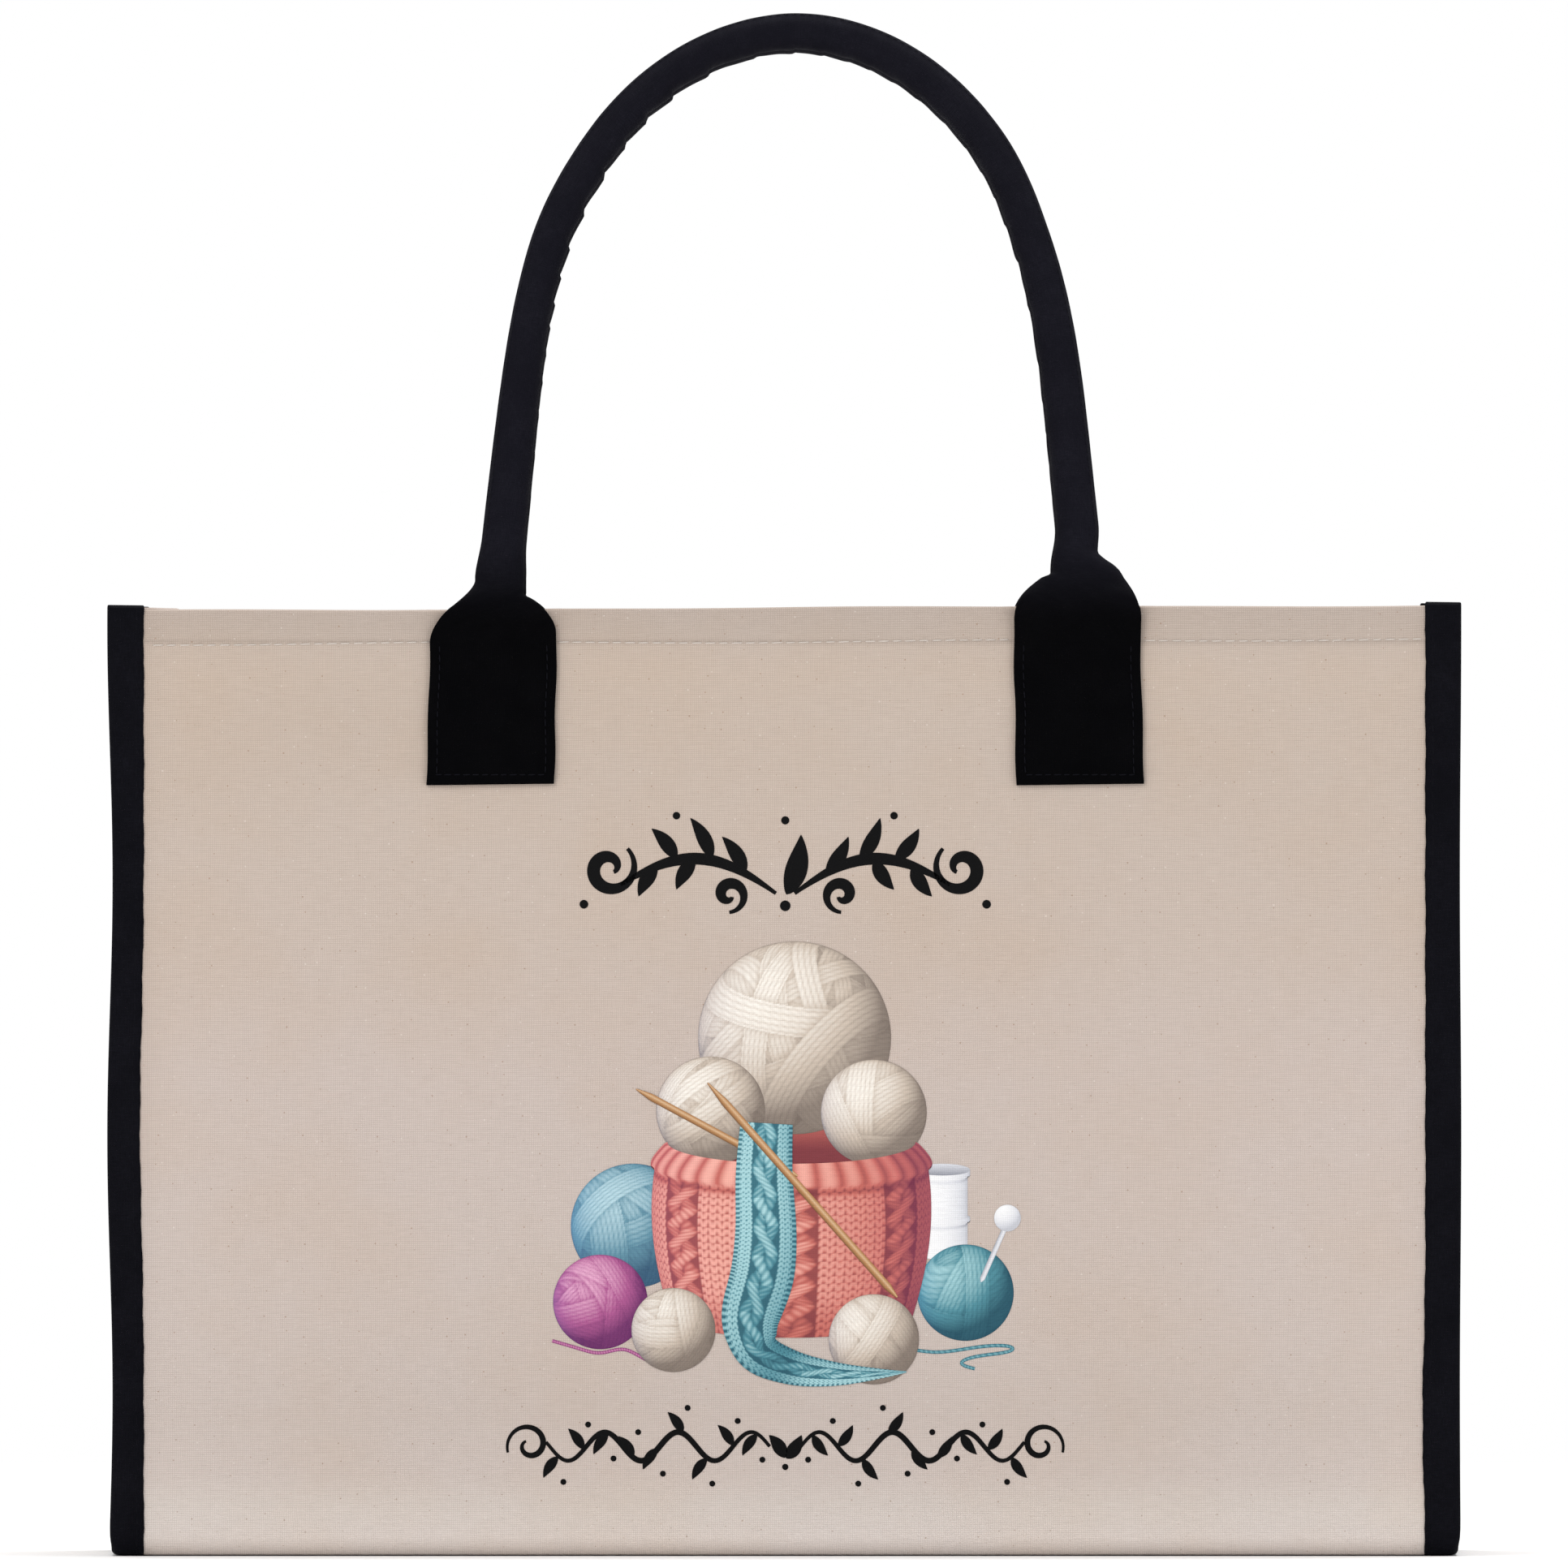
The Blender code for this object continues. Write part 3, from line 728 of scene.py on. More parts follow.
def tape_rows():
    """Rows of the tape: (y, z, out_y, out_z) along the U, and how far the C is open, which is 1 along the
    U and falls as a cosine to almost 0 over the rounded end at each top."""
    y, z, out_y, out_z = u_line(0, TAPE_TOP - END_ROUND, 2.5 * MM)
    closing = np.radians([87, 80, 68, 52, 34, 16])
    end_z = TAPE_TOP - END_ROUND + END_ROUND * np.sin(closing)
    ones = np.ones(len(closing))
    y = join([-HALF_DEPTH * ones, y, HALF_DEPTH * ones])
    z = join([end_z, z, end_z[::-1]])
    out_y, out_z = join([-ones, out_y, ones]), join([0 * ones, out_z, 0 * ones])
    open_share = join([np.cos(closing), np.ones(len(y) - 2 * len(ones)), np.cos(closing)[::-1]])
    return y, z, out_y, out_z, open_share


def tape_edges(z, side):
    """How far the tape's outer and inner edges lie from the straight, at each height: slow waves, wider
    on the left, a swelling a third of the way up, and small quick waves from the stitches."""
    swing = 0.85 * MM if side < 0 else 0.22 * MM
    outer = -0.1 * MM + swing * np.cos((z - 0.300) * 38) - 0.8 * MM * bell(z, 5 * MM)
    quick = 0.09 * MM * np.sin(z / (1.15 * MM)) + 0.12 * MM * np.sin(z / (4.3 * MM) + side)
    if side < 0:
        inner = -0.95 * MM - 1.25 * MM * bell(z - 0.138, 0.045)
    else:
        inner = -0.5 * MM + 0.9 * MM * bell(z - 0.045, 0.03)
    return outer, inner + quick


def make_tape(side, name):
    """The C is two paths, its outside and its inside, joined into one ring of points: a leg with a slight
    puff, a half ellipse round the fold, and the other leg."""
    y, z, out_y, out_z, open_share = tape_rows()
    share = open_share[:, None]
    outer_edge, inner_edge = tape_edges(z, side)
    wide = (FIN + outer_edge + inner_edge)[:, None]
    legs = np.linspace(1, 0, 10)
    fold = np.radians(np.linspace(90, -90, 13))[1:-1]
    proud = (0.5 * MM * np.abs(out_y))[:, None]
    middle = (FIN_THICK - proud) / 2
    half = middle + proud
    gathers = 0.05 * MM * np.sin(z * 1450)[:, None] * bell(legs - 0.8, 0.12)
    puff = 0.16 * MM * np.sin(math.pi * legs) - gathers
    lift = join([puff, 0 * fold + 0 * wide, 0 * puff], 1) * np.abs(out_y)[:, None]
    face_leg = FOLD_REACH + (wide - FOLD_REACH) * legs
    back_leg = FOLD_REACH + (wide - 3.4 * MM) * legs[::-1]
    paths = []
    for inset in (0, TAPE_THICK):
        folded = FOLD_REACH - (FOLD_REACH - inset) * np.cos(fold) + 0 * wide
        from_edge = join([face_leg, folded, back_leg], 1)
        sine = join([np.ones(len(legs)), np.sin(fold), -np.ones(len(legs))])
        depth = middle - ((half - inset) * sine + lift) * share
        rounded = 1 - 0.09 * (1 - share) ** 2
        x = side * (HALF_WIDTH + outer_edge[:, None] - wide / 2 - (from_edge - wide / 2) * rounded)
        height = z[:, None] + CUT_SLOPE * side * (from_edge - wide / 2) * (z > TOP)[:, None]
        drop = (LEFT_DROP if side < 0 else 0) * smooth_step((z[:, None] - TOP + 30 * MM) / (30 * MM))
        height = height - inset * (1 - share) - drop - out_z[:, None] * depth
        paths.append(np.stack([x, y[:, None] - out_y[:, None] * depth, height], -1))
    points = join([paths[0], paths[1][:, ::-1]], 1)
    return cloth_grid(name, points if side < 0 else points[:, ::-1], around=True, capped=True)


def tape_stitch_rows(side):
    """Seam lines 2.4 mm from the tape's inner edges, on its face and on its hidden leg."""
    y, z, out_y, out_z = u_line(0, TOP - 1 * MM, 1.5 * MM)
    outer_edge, inner_edge = tape_edges(z, side)
    out = np.stack([0 * y, out_y, out_z], 1)
    rows = []
    for facing, in_from_edge in ((1, 2.4 * MM), (-1, 3.8 * MM)):
        x = HALF_WIDTH - (FIN + inner_edge - in_from_edge)
        lift = 0.56 * MM * np.abs(out_y) if facing > 0 else 0 * z - FIN_THICK - 0.1 * MM
        line = np.stack([side * x, y, z], 1) + out * lift[:, None]
        rows.append(stitch_row(line, out * facing, 3.6 * MM, 2.7 * MM, 0.42 * MM, 0.05))
    return rows


for side, side_name in SIDES:
    tape = finish_piece(make_tape(side, f"{side_name}_edge_tape"), BINDING_TAPE)
    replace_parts(tape, f"{side_name}_edge_binding")
    paint(tape, "Tone", np.ones(len(tape.data.vertices)))
    stitches(f"{side_name}_tape_stitches", tape_stitch_rows(side), BLACK_THREAD)

# %% [markdown]
# ## Handle covers
# Each handle is one length of black cloth. It is sewn round a rope for most of its length, and at each
# end the empty cloth is pressed flat, widens into shoulders and becomes the tab that is stitched to the
# bag. So one surface makes all of it: a ring of points is carried from the foot of one tab, over the
# arch, to the foot of the other, while its width, thickness and squareness change. The shoulders of the
# two tabs are uneven, since a hand folded them. On the inside of the arch the cloth is too long for the
# bend and puckers into small lumps, while the outside is drawn smooth over the seam.

# %% The handle's middle line
ARCH_FOOT_Z = TOP + 11 * MM
ARCH_RISE = 179.4 * MM
ARCH_HALF_WIDTH = 77.2 * MM
ARCH_HALF_FOOT = 93.8 * MM
LEAN = math.radians(12)
BEND_START = TOP - 0.5 * MM
BEND_END = TOP + 12.5 * MM
TAB_SEAM = 3.1 * MM


def arch_line(spacing):
    """Half an arch, x = a cos(t)^1.05 and z = b sin(t)^0.484 with legs that splay out, evenly spaced and
    mirrored into a whole one. The powers make it rounder at the shoulders than an ellipse."""
    turn = np.linspace(0, math.pi / 2, 3000)
    rise = np.sin(turn) ** 0.484
    splay = 1 + (ARCH_HALF_FOOT / ARCH_HALF_WIDTH - 1) * (1 - rise)
    x = ARCH_HALF_WIDTH * np.cos(turn) ** 1.05 * splay
    z = ARCH_FOOT_Z + ARCH_RISE * rise
    x, z = join([-x, x[-2::-1]]), join([z, z[-2::-1]])
    length = run_of(np.stack([x, z], 1))
    at = np.linspace(0, length[-1], int(length[-1] / spacing))
    return np.interp(at, length, x), np.interp(at, length, z)


# %% [markdown]
# The outline of a tab is two edges. Each edge leaves the neck at its own height and swells out to the
# width of the tab over its own length. A rounded rise, 1 - (1 - u)^2, starts with a corner, which makes
# the sharp notch on the inner side, and a smooth step makes the flowing outer side.

# %% Outlines of the tabs
# Per tab, in millimetres: the height above the canvas where the inner shoulder starts and its length,
# the same for the outer shoulder, and whether the outer one starts with a corner.
SHOULDERS = {-1: (4.2, 12.5, 9.5, 21.0, False), 1: (12.6, 17.0, 19.4, 22.0, True)}
NECK_IN, NECK_OUT = 8.5, 7.3


def tab_edges(z, side):
    """Distances of a tab's inner and outer edges from the tab's middle, at each height."""
    inner_top, inner_long, outer_top, outer_long, corner = SHOULDERS[side]
    above = (z - TOP) / MM
    inner = (1 - (1 - np.clip((inner_top - above) / inner_long, 0, 1)) ** 2) ** 0.86
    down = np.clip((outer_top - above) / outer_long, 0, 1)
    outer = 1 - (1 - down) ** 1.65 if corner else smooth_step(down) ** 0.8
    low = np.clip(-above / 56, 0, 1)
    on_tab = 0.2 * (above < 0)
    inner = NECK_IN + (21.0 - NECK_IN) * inner - 0.9 * low + on_tab * np.sin(0.23 * above)
    outer = NECK_OUT + (20.0 - NECK_OUT) * outer + 1.2 * low**2 + on_tab * np.sin(0.19 * above + 2)
    return inner * MM, outer * MM


def smoothed(values, passes):
    """Values averaged with their neighbours a few times, with both ends held."""
    for _ in range(passes):
        values = join([values[:1], (values[:-2] + 2 * values[1:-1] + values[2:]) / 4, values[-1:]])
    return values


def handle_stations():
    """Rings from the left tab's foot to the right tab's: the middle line's x and z, how far the ring is
    shifted outwards from it because the two edges of a tab differ, and the half-width. Soft rope doesn't
    stand straight, so the arch drifts to the right by 2 mm over the necks and 1.3 mm near the crown."""
    foot = TAB_BOTTOM + np.array([0.0, 0.3, 0.9]) * MM
    tab_z = join([foot, np.arange(TAB_BOTTOM + 1.8 * MM, ARCH_FOOT_Z - 0.5 * MM, 0.8 * MM)])
    arch_x, arch_z = arch_line(1.15 * MM)
    up = np.clip((arch_z - ARCH_FOOT_Z) / ARCH_RISE, 0, 1)
    tube = 6.1 * MM * (1 + 0.14 * (1 - up) ** 2)
    neck = (NECK_IN + NECK_OUT) / 2 * MM
    tube = neck + (tube - neck) * smooth_step((arch_z - ARCH_FOOT_Z + 1 * MM) / (13 * MM))
    foot_x = np.full(len(tab_z), ARCH_HALF_FOOT)
    x = join([-foot_x, arch_x, foot_x])
    z = join([tab_z, arch_z, tab_z[::-1]])
    above = (z - TOP) / MM
    low_drift = smooth_step(np.where(x < 0, (above + 3) / 9, (above - 14) / 14))
    x = x + 2.0 * MM * low_drift + 1.3 * MM * smooth_step((above - 120) / 35)
    half = join([neck + 0 * tab_z, tube, neck + 0 * tab_z])
    shift = 0 * x
    for side in (-1, 1):
        inner, outer = tab_edges(z, side)
        inner, outer = inner - NECK_IN * MM, outer - NECK_OUT * MM
        near = (x * side > 0) & (z < TOP + 30 * MM)
        shift = shift + np.where(near, side * (outer - inner) / 2, 0)
        half = half + np.where(near, (outer + inner) / 2, 0)
    return x, z, shift, half


def puckers(run):
    """Lumps of the cloth along the inside of the arch: a saw's teeth, x^0.7 of the run through each one,
    about 12 mm apart but unevenly, and stronger in some places than in others."""
    place = run / (11.8 * MM) + 0.5 * np.sin(run / (29 * MM) + 1) + 0.22 * np.sin(run / (12.3 * MM))
    tooth = place - np.floor(place)
    lump = np.minimum(tooth**0.7, 1) * (1 - smooth_step((tooth - 0.86) / 0.14))
    share = run / run[-1]
    strength = 0.18 + 0.95 * bell(share - 0.38, 0.12) + 0.25 * bell(share - 0.70, 0.05)
    return (1 - lump) * strength


def run_and_way(x, z):
    """Length along the middle line from its first point, and its unit direction at each point."""
    run = run_of(np.stack([x, z], 1))
    return run, unit(np.stack([np.gradient(x, run), np.gradient(z, run)], 1))


def lean_in(y, z, angle):
    """Turn points of the front handle about its swing axis, towards the other handle."""
    y, z = y + HINGE_Y, z - HINGE_Z
    cosine, sine = np.cos(angle), np.sin(angle)
    return -HINGE_Y + y * cosine + z * sine, HINGE_Z - y * sine + z * cosine


# %% [markdown]
# The ring itself is a rounded rectangle, written as powers of the cosine and the sine: a power of 1 gives
# an ellipse and a small power gives a flat strip with tight edges. The tab's ring also follows the
# relief of the canvas that it lies on. Last of all the arch is turned about its swing axis to lean in
# by 12 degrees, and the turn fades out over the neck, the same way as the joint bends it.

# %% Covers of the handles
AROUND = 72
TUBE_THICK = 6.9
# Half-thickness of the cover at heights above the top of the canvas, all in millimetres.
THICK_HEIGHTS = (-60, -13, -5, 0, 6, 11, 16, 30)
THICKNESSES = (1.0, 1.0, 1.7, 2.6, 4.2, 5.7, 6.7, TUBE_THICK)
# Powers of the ring on a tab: across and through the cloth.
TAB_POWERS = (0.62, 0.30)
SEAM_COLUMN = round(AROUND * 0.385)


def power(wave, exponent):
    """A sine or cosine raised to a power, with its sign kept."""
    return np.sign(wave) * np.abs(wave) ** exponent


def handle_surface(face):
    """Rings of points: the middle, plus power(cos, p) times the half-width across, plus power(sin, q)
    times the half-thickness outwards."""
    x, z, shift, half = handle_stations()
    run, way = run_and_way(x, z)
    tilting = smoothed(smooth_step((z - TOP - 4 * MM) / (12 * MM)), 8)[:, None]
    side = np.where(run < run[-1] / 2, 1.0, -1.0)
    way = unit(np.stack([0 * x, side], 1) * (1 - tilting) + way * tilting)
    above = (z - TOP) / MM
    tube = smooth_step((above + 9) / 27)
    thick = smoothed(np.interp(above, THICK_HEIGHTS, THICKNESSES) * MM, 6)
    thick = np.where(above > 24, np.minimum(half, TUBE_THICK * MM), thick)
    foot = np.clip((z - TAB_BOTTOM) / (0.9 * MM), 0, 1)
    thick = thick * np.sqrt(1 - 0.75 * (1 - foot) ** 2)
    angle = np.arange(AROUND) * 2 * math.pi / AROUND
    cosine, sine = np.cos(angle), np.sin(angle)
    power_wide, power_deep = TAB_POWERS
    wide = power(cosine, (power_wide + (1 - power_wide) * tube)[:, None])
    deep = power(sine, (power_deep + (1 - power_deep) * smooth_step((above + 6) / 18))[:, None])
    inner_side = np.clip(wide, 0, 1) ** 1.2
    curve = smooth_step((z - TOP - 22 * MM) / (50 * MM))[:, None]
    lumps = -1.1 * MM * puckers(run)[:, None] * inner_side * curve
    run, tube, outside = run[:, None], tube[:, None], deep > 0
    slant = np.sin(run / (2.1 * MM) + 3 * deep + 2 * np.sin(run / (11 * MM)))
    wrinkle = 0.07 * MM * slant * (0.2 + 0.8 * inner_side) * (0.25 + 0.75 * curve) * tube
    wander = 0.2 * MM * np.sin(run / (19 * MM) + 2 * cosine) * tube
    seam = 0.3 * MM * bell(wide + 0.78, 0.07) * outside * smooth_step((above - 12) / 20)[:, None]
    grow = lumps + wrinkle + wander + seam
    pillow = 0.4 * MM * np.clip(1 - np.abs(wide) ** 3, 0, 1) * bell(above + 6, 9)[:, None] * outside
    from_seam = np.abs(wide) * half[:, None] - half[:, None] + TAB_SEAM
    fold_line = -0.16 * MM * bell(from_seam, 0.7 * MM) * (1 - tube) * outside
    across = wide * half[:, None] + grow * cosine
    out = deep * thick[:, None] + grow * sine + pillow + fold_line
    px = (x + shift)[:, None] + way[:, 1:] * across
    pz = z[:, None] - way[:, :1] * across
    resting = TAB_PLANE - HALF_DEPTH - 0.3 * MM - thick
    y = (resting * smooth_step((9 - above) / 9) - TAB_PLANE)[:, None] - out
    y = y - wall_relief(px, np.minimum(pz, TOP), face) * smooth_step((TOP + 1 * MM - pz) / (6 * MM))
    near_foot = smooth_step((TAB_BOTTOM + 20 * MM - pz) / (20 * MM))
    pz = pz + CUT_SLOPE * side[:, None] * across * near_foot
    angle = LEAN * smooth_step((pz - BEND_START) / (BEND_END - BEND_START))
    y, pz = lean_in(y, pz, angle)
    points = np.stack([px, -face * y, pz], -1)
    return points if face > 0 else points[:, ::-1]


for face, face_name in FACES:
    points = handle_surface(face)
    cover = cloth_grid(f"{face_name}_handle_cover", points, around=True, capped=True)
    heights = points[..., 2].ravel() - TOP
    # Painted light: the tabs are painted at a tenth of the tube's brightness, rising over the necks. This
    # stands in for the sheen that the round tube catches.
    paint(cover, "Tone", 0.10 + 0.90 * smooth_step((heights + 6 * MM) / (30 * MM)))
    finish_piece(cover, HANDLE_CLOTH, body=None)
    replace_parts(cover, f"{face_name}_handle_sleeve", f"{face_name}_left_tab", f"{face_name}_right_tab")
    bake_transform(cover)

# %% [markdown]
# ## Ropes in the handles
# Inside each cover lies a cotton rope of three strands. A plain tube would look like plastic if the cover
# ever shows a gap, so the ring of the sweep has three lobes that turn as they go along.

# %% Ropes


def rope_material():
    """Twisted cotton: diagonal waves over the rope's own place, with fuzz between the strands."""
    nodes = Nodes("twisted_rope")
    place = nodes.add("ShaderNodeTexCoord").outputs["Object"]
    parts = nodes.add("ShaderNodeSeparateXYZ", {0: place})
    slope = nodes.plus(nodes.plus(*parts.outputs[:2]), parts.outputs[2])
    strand = nodes.math("ABSOLUTE", nodes.math("SINE", nodes.times(slope, math.pi / (4 * MM))))
    fuzz = nodes.noise(place, 900.0, 3.0)
    # The grooves between the strands are painted darker: painted shade.
    base = nodes.mix(strand, (0.30, 0.26, 0.21, 1), (0.66, 0.61, 0.53, 1))
    return nodes.finish(base, 0.9, {}, nodes.plus(strand, nodes.times(fuzz, 0.3)), 0.6, 0.6 * MM)


def make_rope(face, name):
    """A ring of radius 4.1 mm + 0.5 mm |cos(1.5 f)|, f = angle + run / 5 mm, carried along the arch."""
    x, z = handle_stations()[:2]
    kept = z > TOP + 23.5 * MM
    x, z = x[kept], z[kept]
    run, way = run_and_way(x, z)
    angle = np.arange(36) * math.pi / 18
    radius = 4.1 * MM + 0.5 * MM * np.abs(np.cos(1.5 * (angle + run[:, None] / (5 * MM))))
    px = x[:, None] + way[:, 1:] * radius * np.cos(angle)
    pz = z[:, None] - way[:, :1] * radius * np.cos(angle)
    y, height = lean_in(-TAB_PLANE - radius * np.sin(angle), pz, LEAN)
    points = np.stack([px, -face * y, height], -1)
    rope = cloth_grid(name, points if face > 0 else points[:, ::-1], around=True, capped=True)
    return finish_piece(rope, ROPE, name.replace("_rope", ""))


ROPE = rope_material()
for face, face_name in FACES:
    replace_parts(make_rope(face, f"{face_name}_handle_rope"), f"{face_name}_handle_core")

# %% [markdown]
# ## Stitches on the handles and tabs
# A tab is held by a square of black stitches, and the cover of the rope is closed by a seam on the outer
# side of the arch. The first are on cloth that doesn't move, and the second ride on the handle above the
# place where it bends.


# %% Stitches on the handles
def tab_seams(side):
    """A closed line 3.1 mm inside the edges of a front tab, on the rounded face of the cloth."""
    low, high = TAB_BOTTOM + 3.2 * MM, TOP - 12.5 * MM
    z = np.linspace(low, high, 24)
    inner, outer = (edge - TAB_SEAM for edge in tab_edges(z, side))
    across_top = np.linspace(-outer[-1], inner[-1], 24)
    across_low = np.linspace(inner[0], -outer[0], 24)
    from_middle = join([-outer, across_top, inner[::-1], across_low])
    height = join([z, np.full(24, high), z[::-1], np.full(24, low)])
    x = side * TAB_X - side * from_middle
    wide = np.clip(np.abs(from_middle) / (20.6 * MM), 0, 1) ** (1 / TAB_POWERS[0])
    deep = np.sqrt(1 - wide**2) ** TAB_POWERS[1]
    y = -(HALF_DEPTH + 0.36 * MM + 1.0 * MM * (1 + deep)) - wall_relief(x, height, -1)
    return np.stack([x, y, height], 1)


def tab_stitch_rows(face):
    lines = [tab_seams(side) * (1, -face, 1) for side in (-1, 1)]
    return [stitch_row(line, (0, face, 0), 3.0 * MM, 2.2 * MM, 0.42 * MM, 0.04) for line in lines]


def cover_seam_row(face):
    """The column of the cover's points that runs along the outer side, above the bend."""
    points = handle_surface(face)
    line = points[:, SEAM_COLUMN if face > 0 else AROUND - 1 - SEAM_COLUMN]
    high = line[:, 2] > BEND_END + 6 * MM
    normals = unit(line - points.mean(1))
    return stitch_row(line[high], normals[high], 2.6 * MM, 1.7 * MM, 0.30 * MM)


for face, face_name in FACES:
    stitches(f"{face_name}_tab_stitches", tab_stitch_rows(face), BLACK_THREAD)
    seam = [cover_seam_row(face)]
    stitches(f"{face_name}_handle_seam", seam, BLACK_THREAD, f"{face_name}_handle")

# %% [markdown]
# ## Inside the bag
# A patch of black cloth lies behind each tab and takes the pull of the handle. A slip pocket of canvas is
# sewn to the back wall, open at the top, where its hem stands away from the wall. The stiff board at the
# bottom is right as the CAD has it, and only gets the grain of grey board.


# %% Backing patches
# How far inside the canvas's face the pieces sewn to its inner side lie.
INSIDE = 1.9 * MM


def make_backing(face, side, name):
    """A patch with softly pressed edges: its height over the wall falls as 1 - max(|u|, |v|)^10."""
    low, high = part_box(name)
    middle, half = (low + high) / 2, (high - low) / 2
    u, v = np.meshgrid(np.linspace(-1, 1, 29), np.linspace(-1, 1, 31))
    corner = 1 - 0.035 * (u * v) ** 6
    x = middle.x + u * corner * half.x + 0.15 * MM * np.sin(4 * v + side)
    z = middle.z + v * corner * half.z + 0.12 * MM * np.sin(5 * u + side)
    rise = 0.25 * MM * (1 - np.maximum(np.abs(u), np.abs(v)) ** 10)
    y = face * (HALF_DEPTH - INSIDE + wall_relief(x, z, face) - rise)
    points = np.stack([x, y, z], -1)
    piece = thicken(cloth_grid(f"{name}_patch", points if face > 0 else points[:, ::-1]), 0.7 * MM)
    paint(piece, "Tone", np.ones(u.size))
    finish_piece(piece, HANDLE_CLOTH)
    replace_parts(piece, name)
    reach = np.linspace(-1, 1, 20)
    one = np.ones(20)
    x = middle.x + join([reach, one, -reach, -one]) * (half.x - 2.5 * MM)
    z = middle.z + join([-one, reach, one, -reach]) * (half.z - 2.5 * MM)
    line = np.stack([x, face * (HALF_DEPTH - INSIDE - 0.3 * MM + wall_relief(x, z, face)), z], 1)
    return stitch_row(line, (0, -face, 0), 3.0 * MM, 2.2 * MM, 0.4 * MM)


patch_rows = [
    make_backing(face, side, f"{face_name}_{side_name}_backing")
    for face, face_name in FACES
    for side, side_name in SIDES
]
stitches("patch_stitches", patch_rows, BLACK_THREAD)


# %% Pocket
POCKET_ROLL = 0.9 * MM


def pocket_place(u, z, behind):
    """The pocket's cloth bellies from the wall as (1 - u^4) sin(pi t / 2)^1.4, t from foot to mouth."""
    low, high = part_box("inner_pocket")
    t = np.clip((z - low.z) / (high.z - low.z), 0, 1)
    belly = 4.2 * MM * (1 - u**4) * np.sin(math.pi * t / 2) ** 1.4 * (1 + 0.12 * np.sin(5 * u + 1))
    folds = 0.35 * MM * np.sin(9 * u + 3 * t) * t * (1 - u**4)
    x = u * (high.x - low.x) / 2
    y = HALF_DEPTH - INSIDE - 0.05 * MM + wall_relief(x, z, 1) - belly - folds + behind
    return np.stack([x, y, z], -1)


def make_pocket():
    low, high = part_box("inner_pocket")
    roll = np.linspace(0, math.pi, 7)[1:-1]
    top = high.z - POCKET_ROLL
    rolled = top + POCKET_ROLL * np.sin(roll)
    z = join([np.linspace(low.z, top, 44), rolled, np.linspace(top, top - 9 * MM, 6)])
    behind = POCKET_ROLL * (1 - join([np.ones(44), np.cos(roll), -np.ones(6)]))
    u, height = np.meshgrid(np.linspace(-1, 1, 61), z)
    points = pocket_place(u, height, behind[:, None] * (1 - u**8))
    piece = thicken(cloth_grid("slip_pocket", points), 0.8 * MM)
    paint(piece, "Tone", (0.97 - 0.05 * smooth_step((height - top + 11 * MM) / (1 * MM))).ravel())
    finish_piece(piece, CANVAS)
    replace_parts(piece, "inner_pocket")
    edge = join([np.full(30, -0.975), np.linspace(-0.975, 0.975, 40), np.full(30, 0.975)])
    side_z = np.linspace(high.z - 1 * MM, low.z + 2 * MM, 30)
    seam_z = join([side_z, np.full(40, low.z + 2 * MM), side_z[::-1]])
    mouth = np.linspace(-0.96, 0.96, 80)
    out = -0.1 * MM
    lines = [pocket_place(edge, seam_z, out), pocket_place(mouth, np.full(80, top - 9.5 * MM), out)]
    return [stitch_row(line, (0, -1, 0), 3.4 * MM, 2.6 * MM, 0.4 * MM) for line in lines]


stitches("pocket_stitches", make_pocket(), PALE_THREAD)


# %% Board
def board_material():
    """Grey board: short fibres in two stretched noises on Object coordinates, and a fine tooth."""
    nodes = Nodes("grey_board")
    place = nodes.add("ShaderNodeTexCoord").outputs["Object"]
    long_fibres = nodes.yarns(place, (90, 900, 900), 4.0, 0.65)
    tooth = nodes.noise(place, 1400.0, 2.0)
    share = nodes.plus(nodes.times(long_fibres, 0.7), nodes.times(tooth, 0.3))
    base = nodes.mix(share, (0.20, 0.17, 0.14, 1), (0.46, 0.41, 0.35, 1))
    return nodes.finish(base, 0.85, {}, share, 0.3, 0.1 * MM)


board_slots = frame["nodes"]["base_board"].data.materials
board_slots.clear()
board_slots.append(board_material())

# %% [markdown]
# ## The printed picture
# The front carries a printed picture: a basket of yarn with a piece of knitting and two needles, between
# two black ornaments. A print is a film of ink in the weave, so each part of it is a thin sheet of points
# that follows the relief of the canvas a tenth of a millimetre above it. Its colours are worked out with
# numpy and stored at the points, and the material presses the weave through them.

# %% Ink
def ink_material():
    """Ink on canvas: the colour painted on the points, broken up by the weave and a little worn."""
    nodes = Nodes("printed_ink")
    uv = nodes.cloth()
    ink = nodes.painted("Ink")
    bumps = weave_height(nodes, uv, 0.62 * MM, 0.9)
    streaks = nodes.yarns(uv, (150, 1900, 1))
    shade = nodes.times(nodes.range(bumps, 0, 1, 0.88, 1.06), nodes.range(streaks, 0.3, 0.7, 0.94, 1.05))
    base = nodes.mix(1.0, ink, shade, "MULTIPLY")
    return nodes.finish(base, 0.75, {"Specular IOR Level": 0.12}, bumps, 0.3, 0.12 * MM)


INK = ink_material()


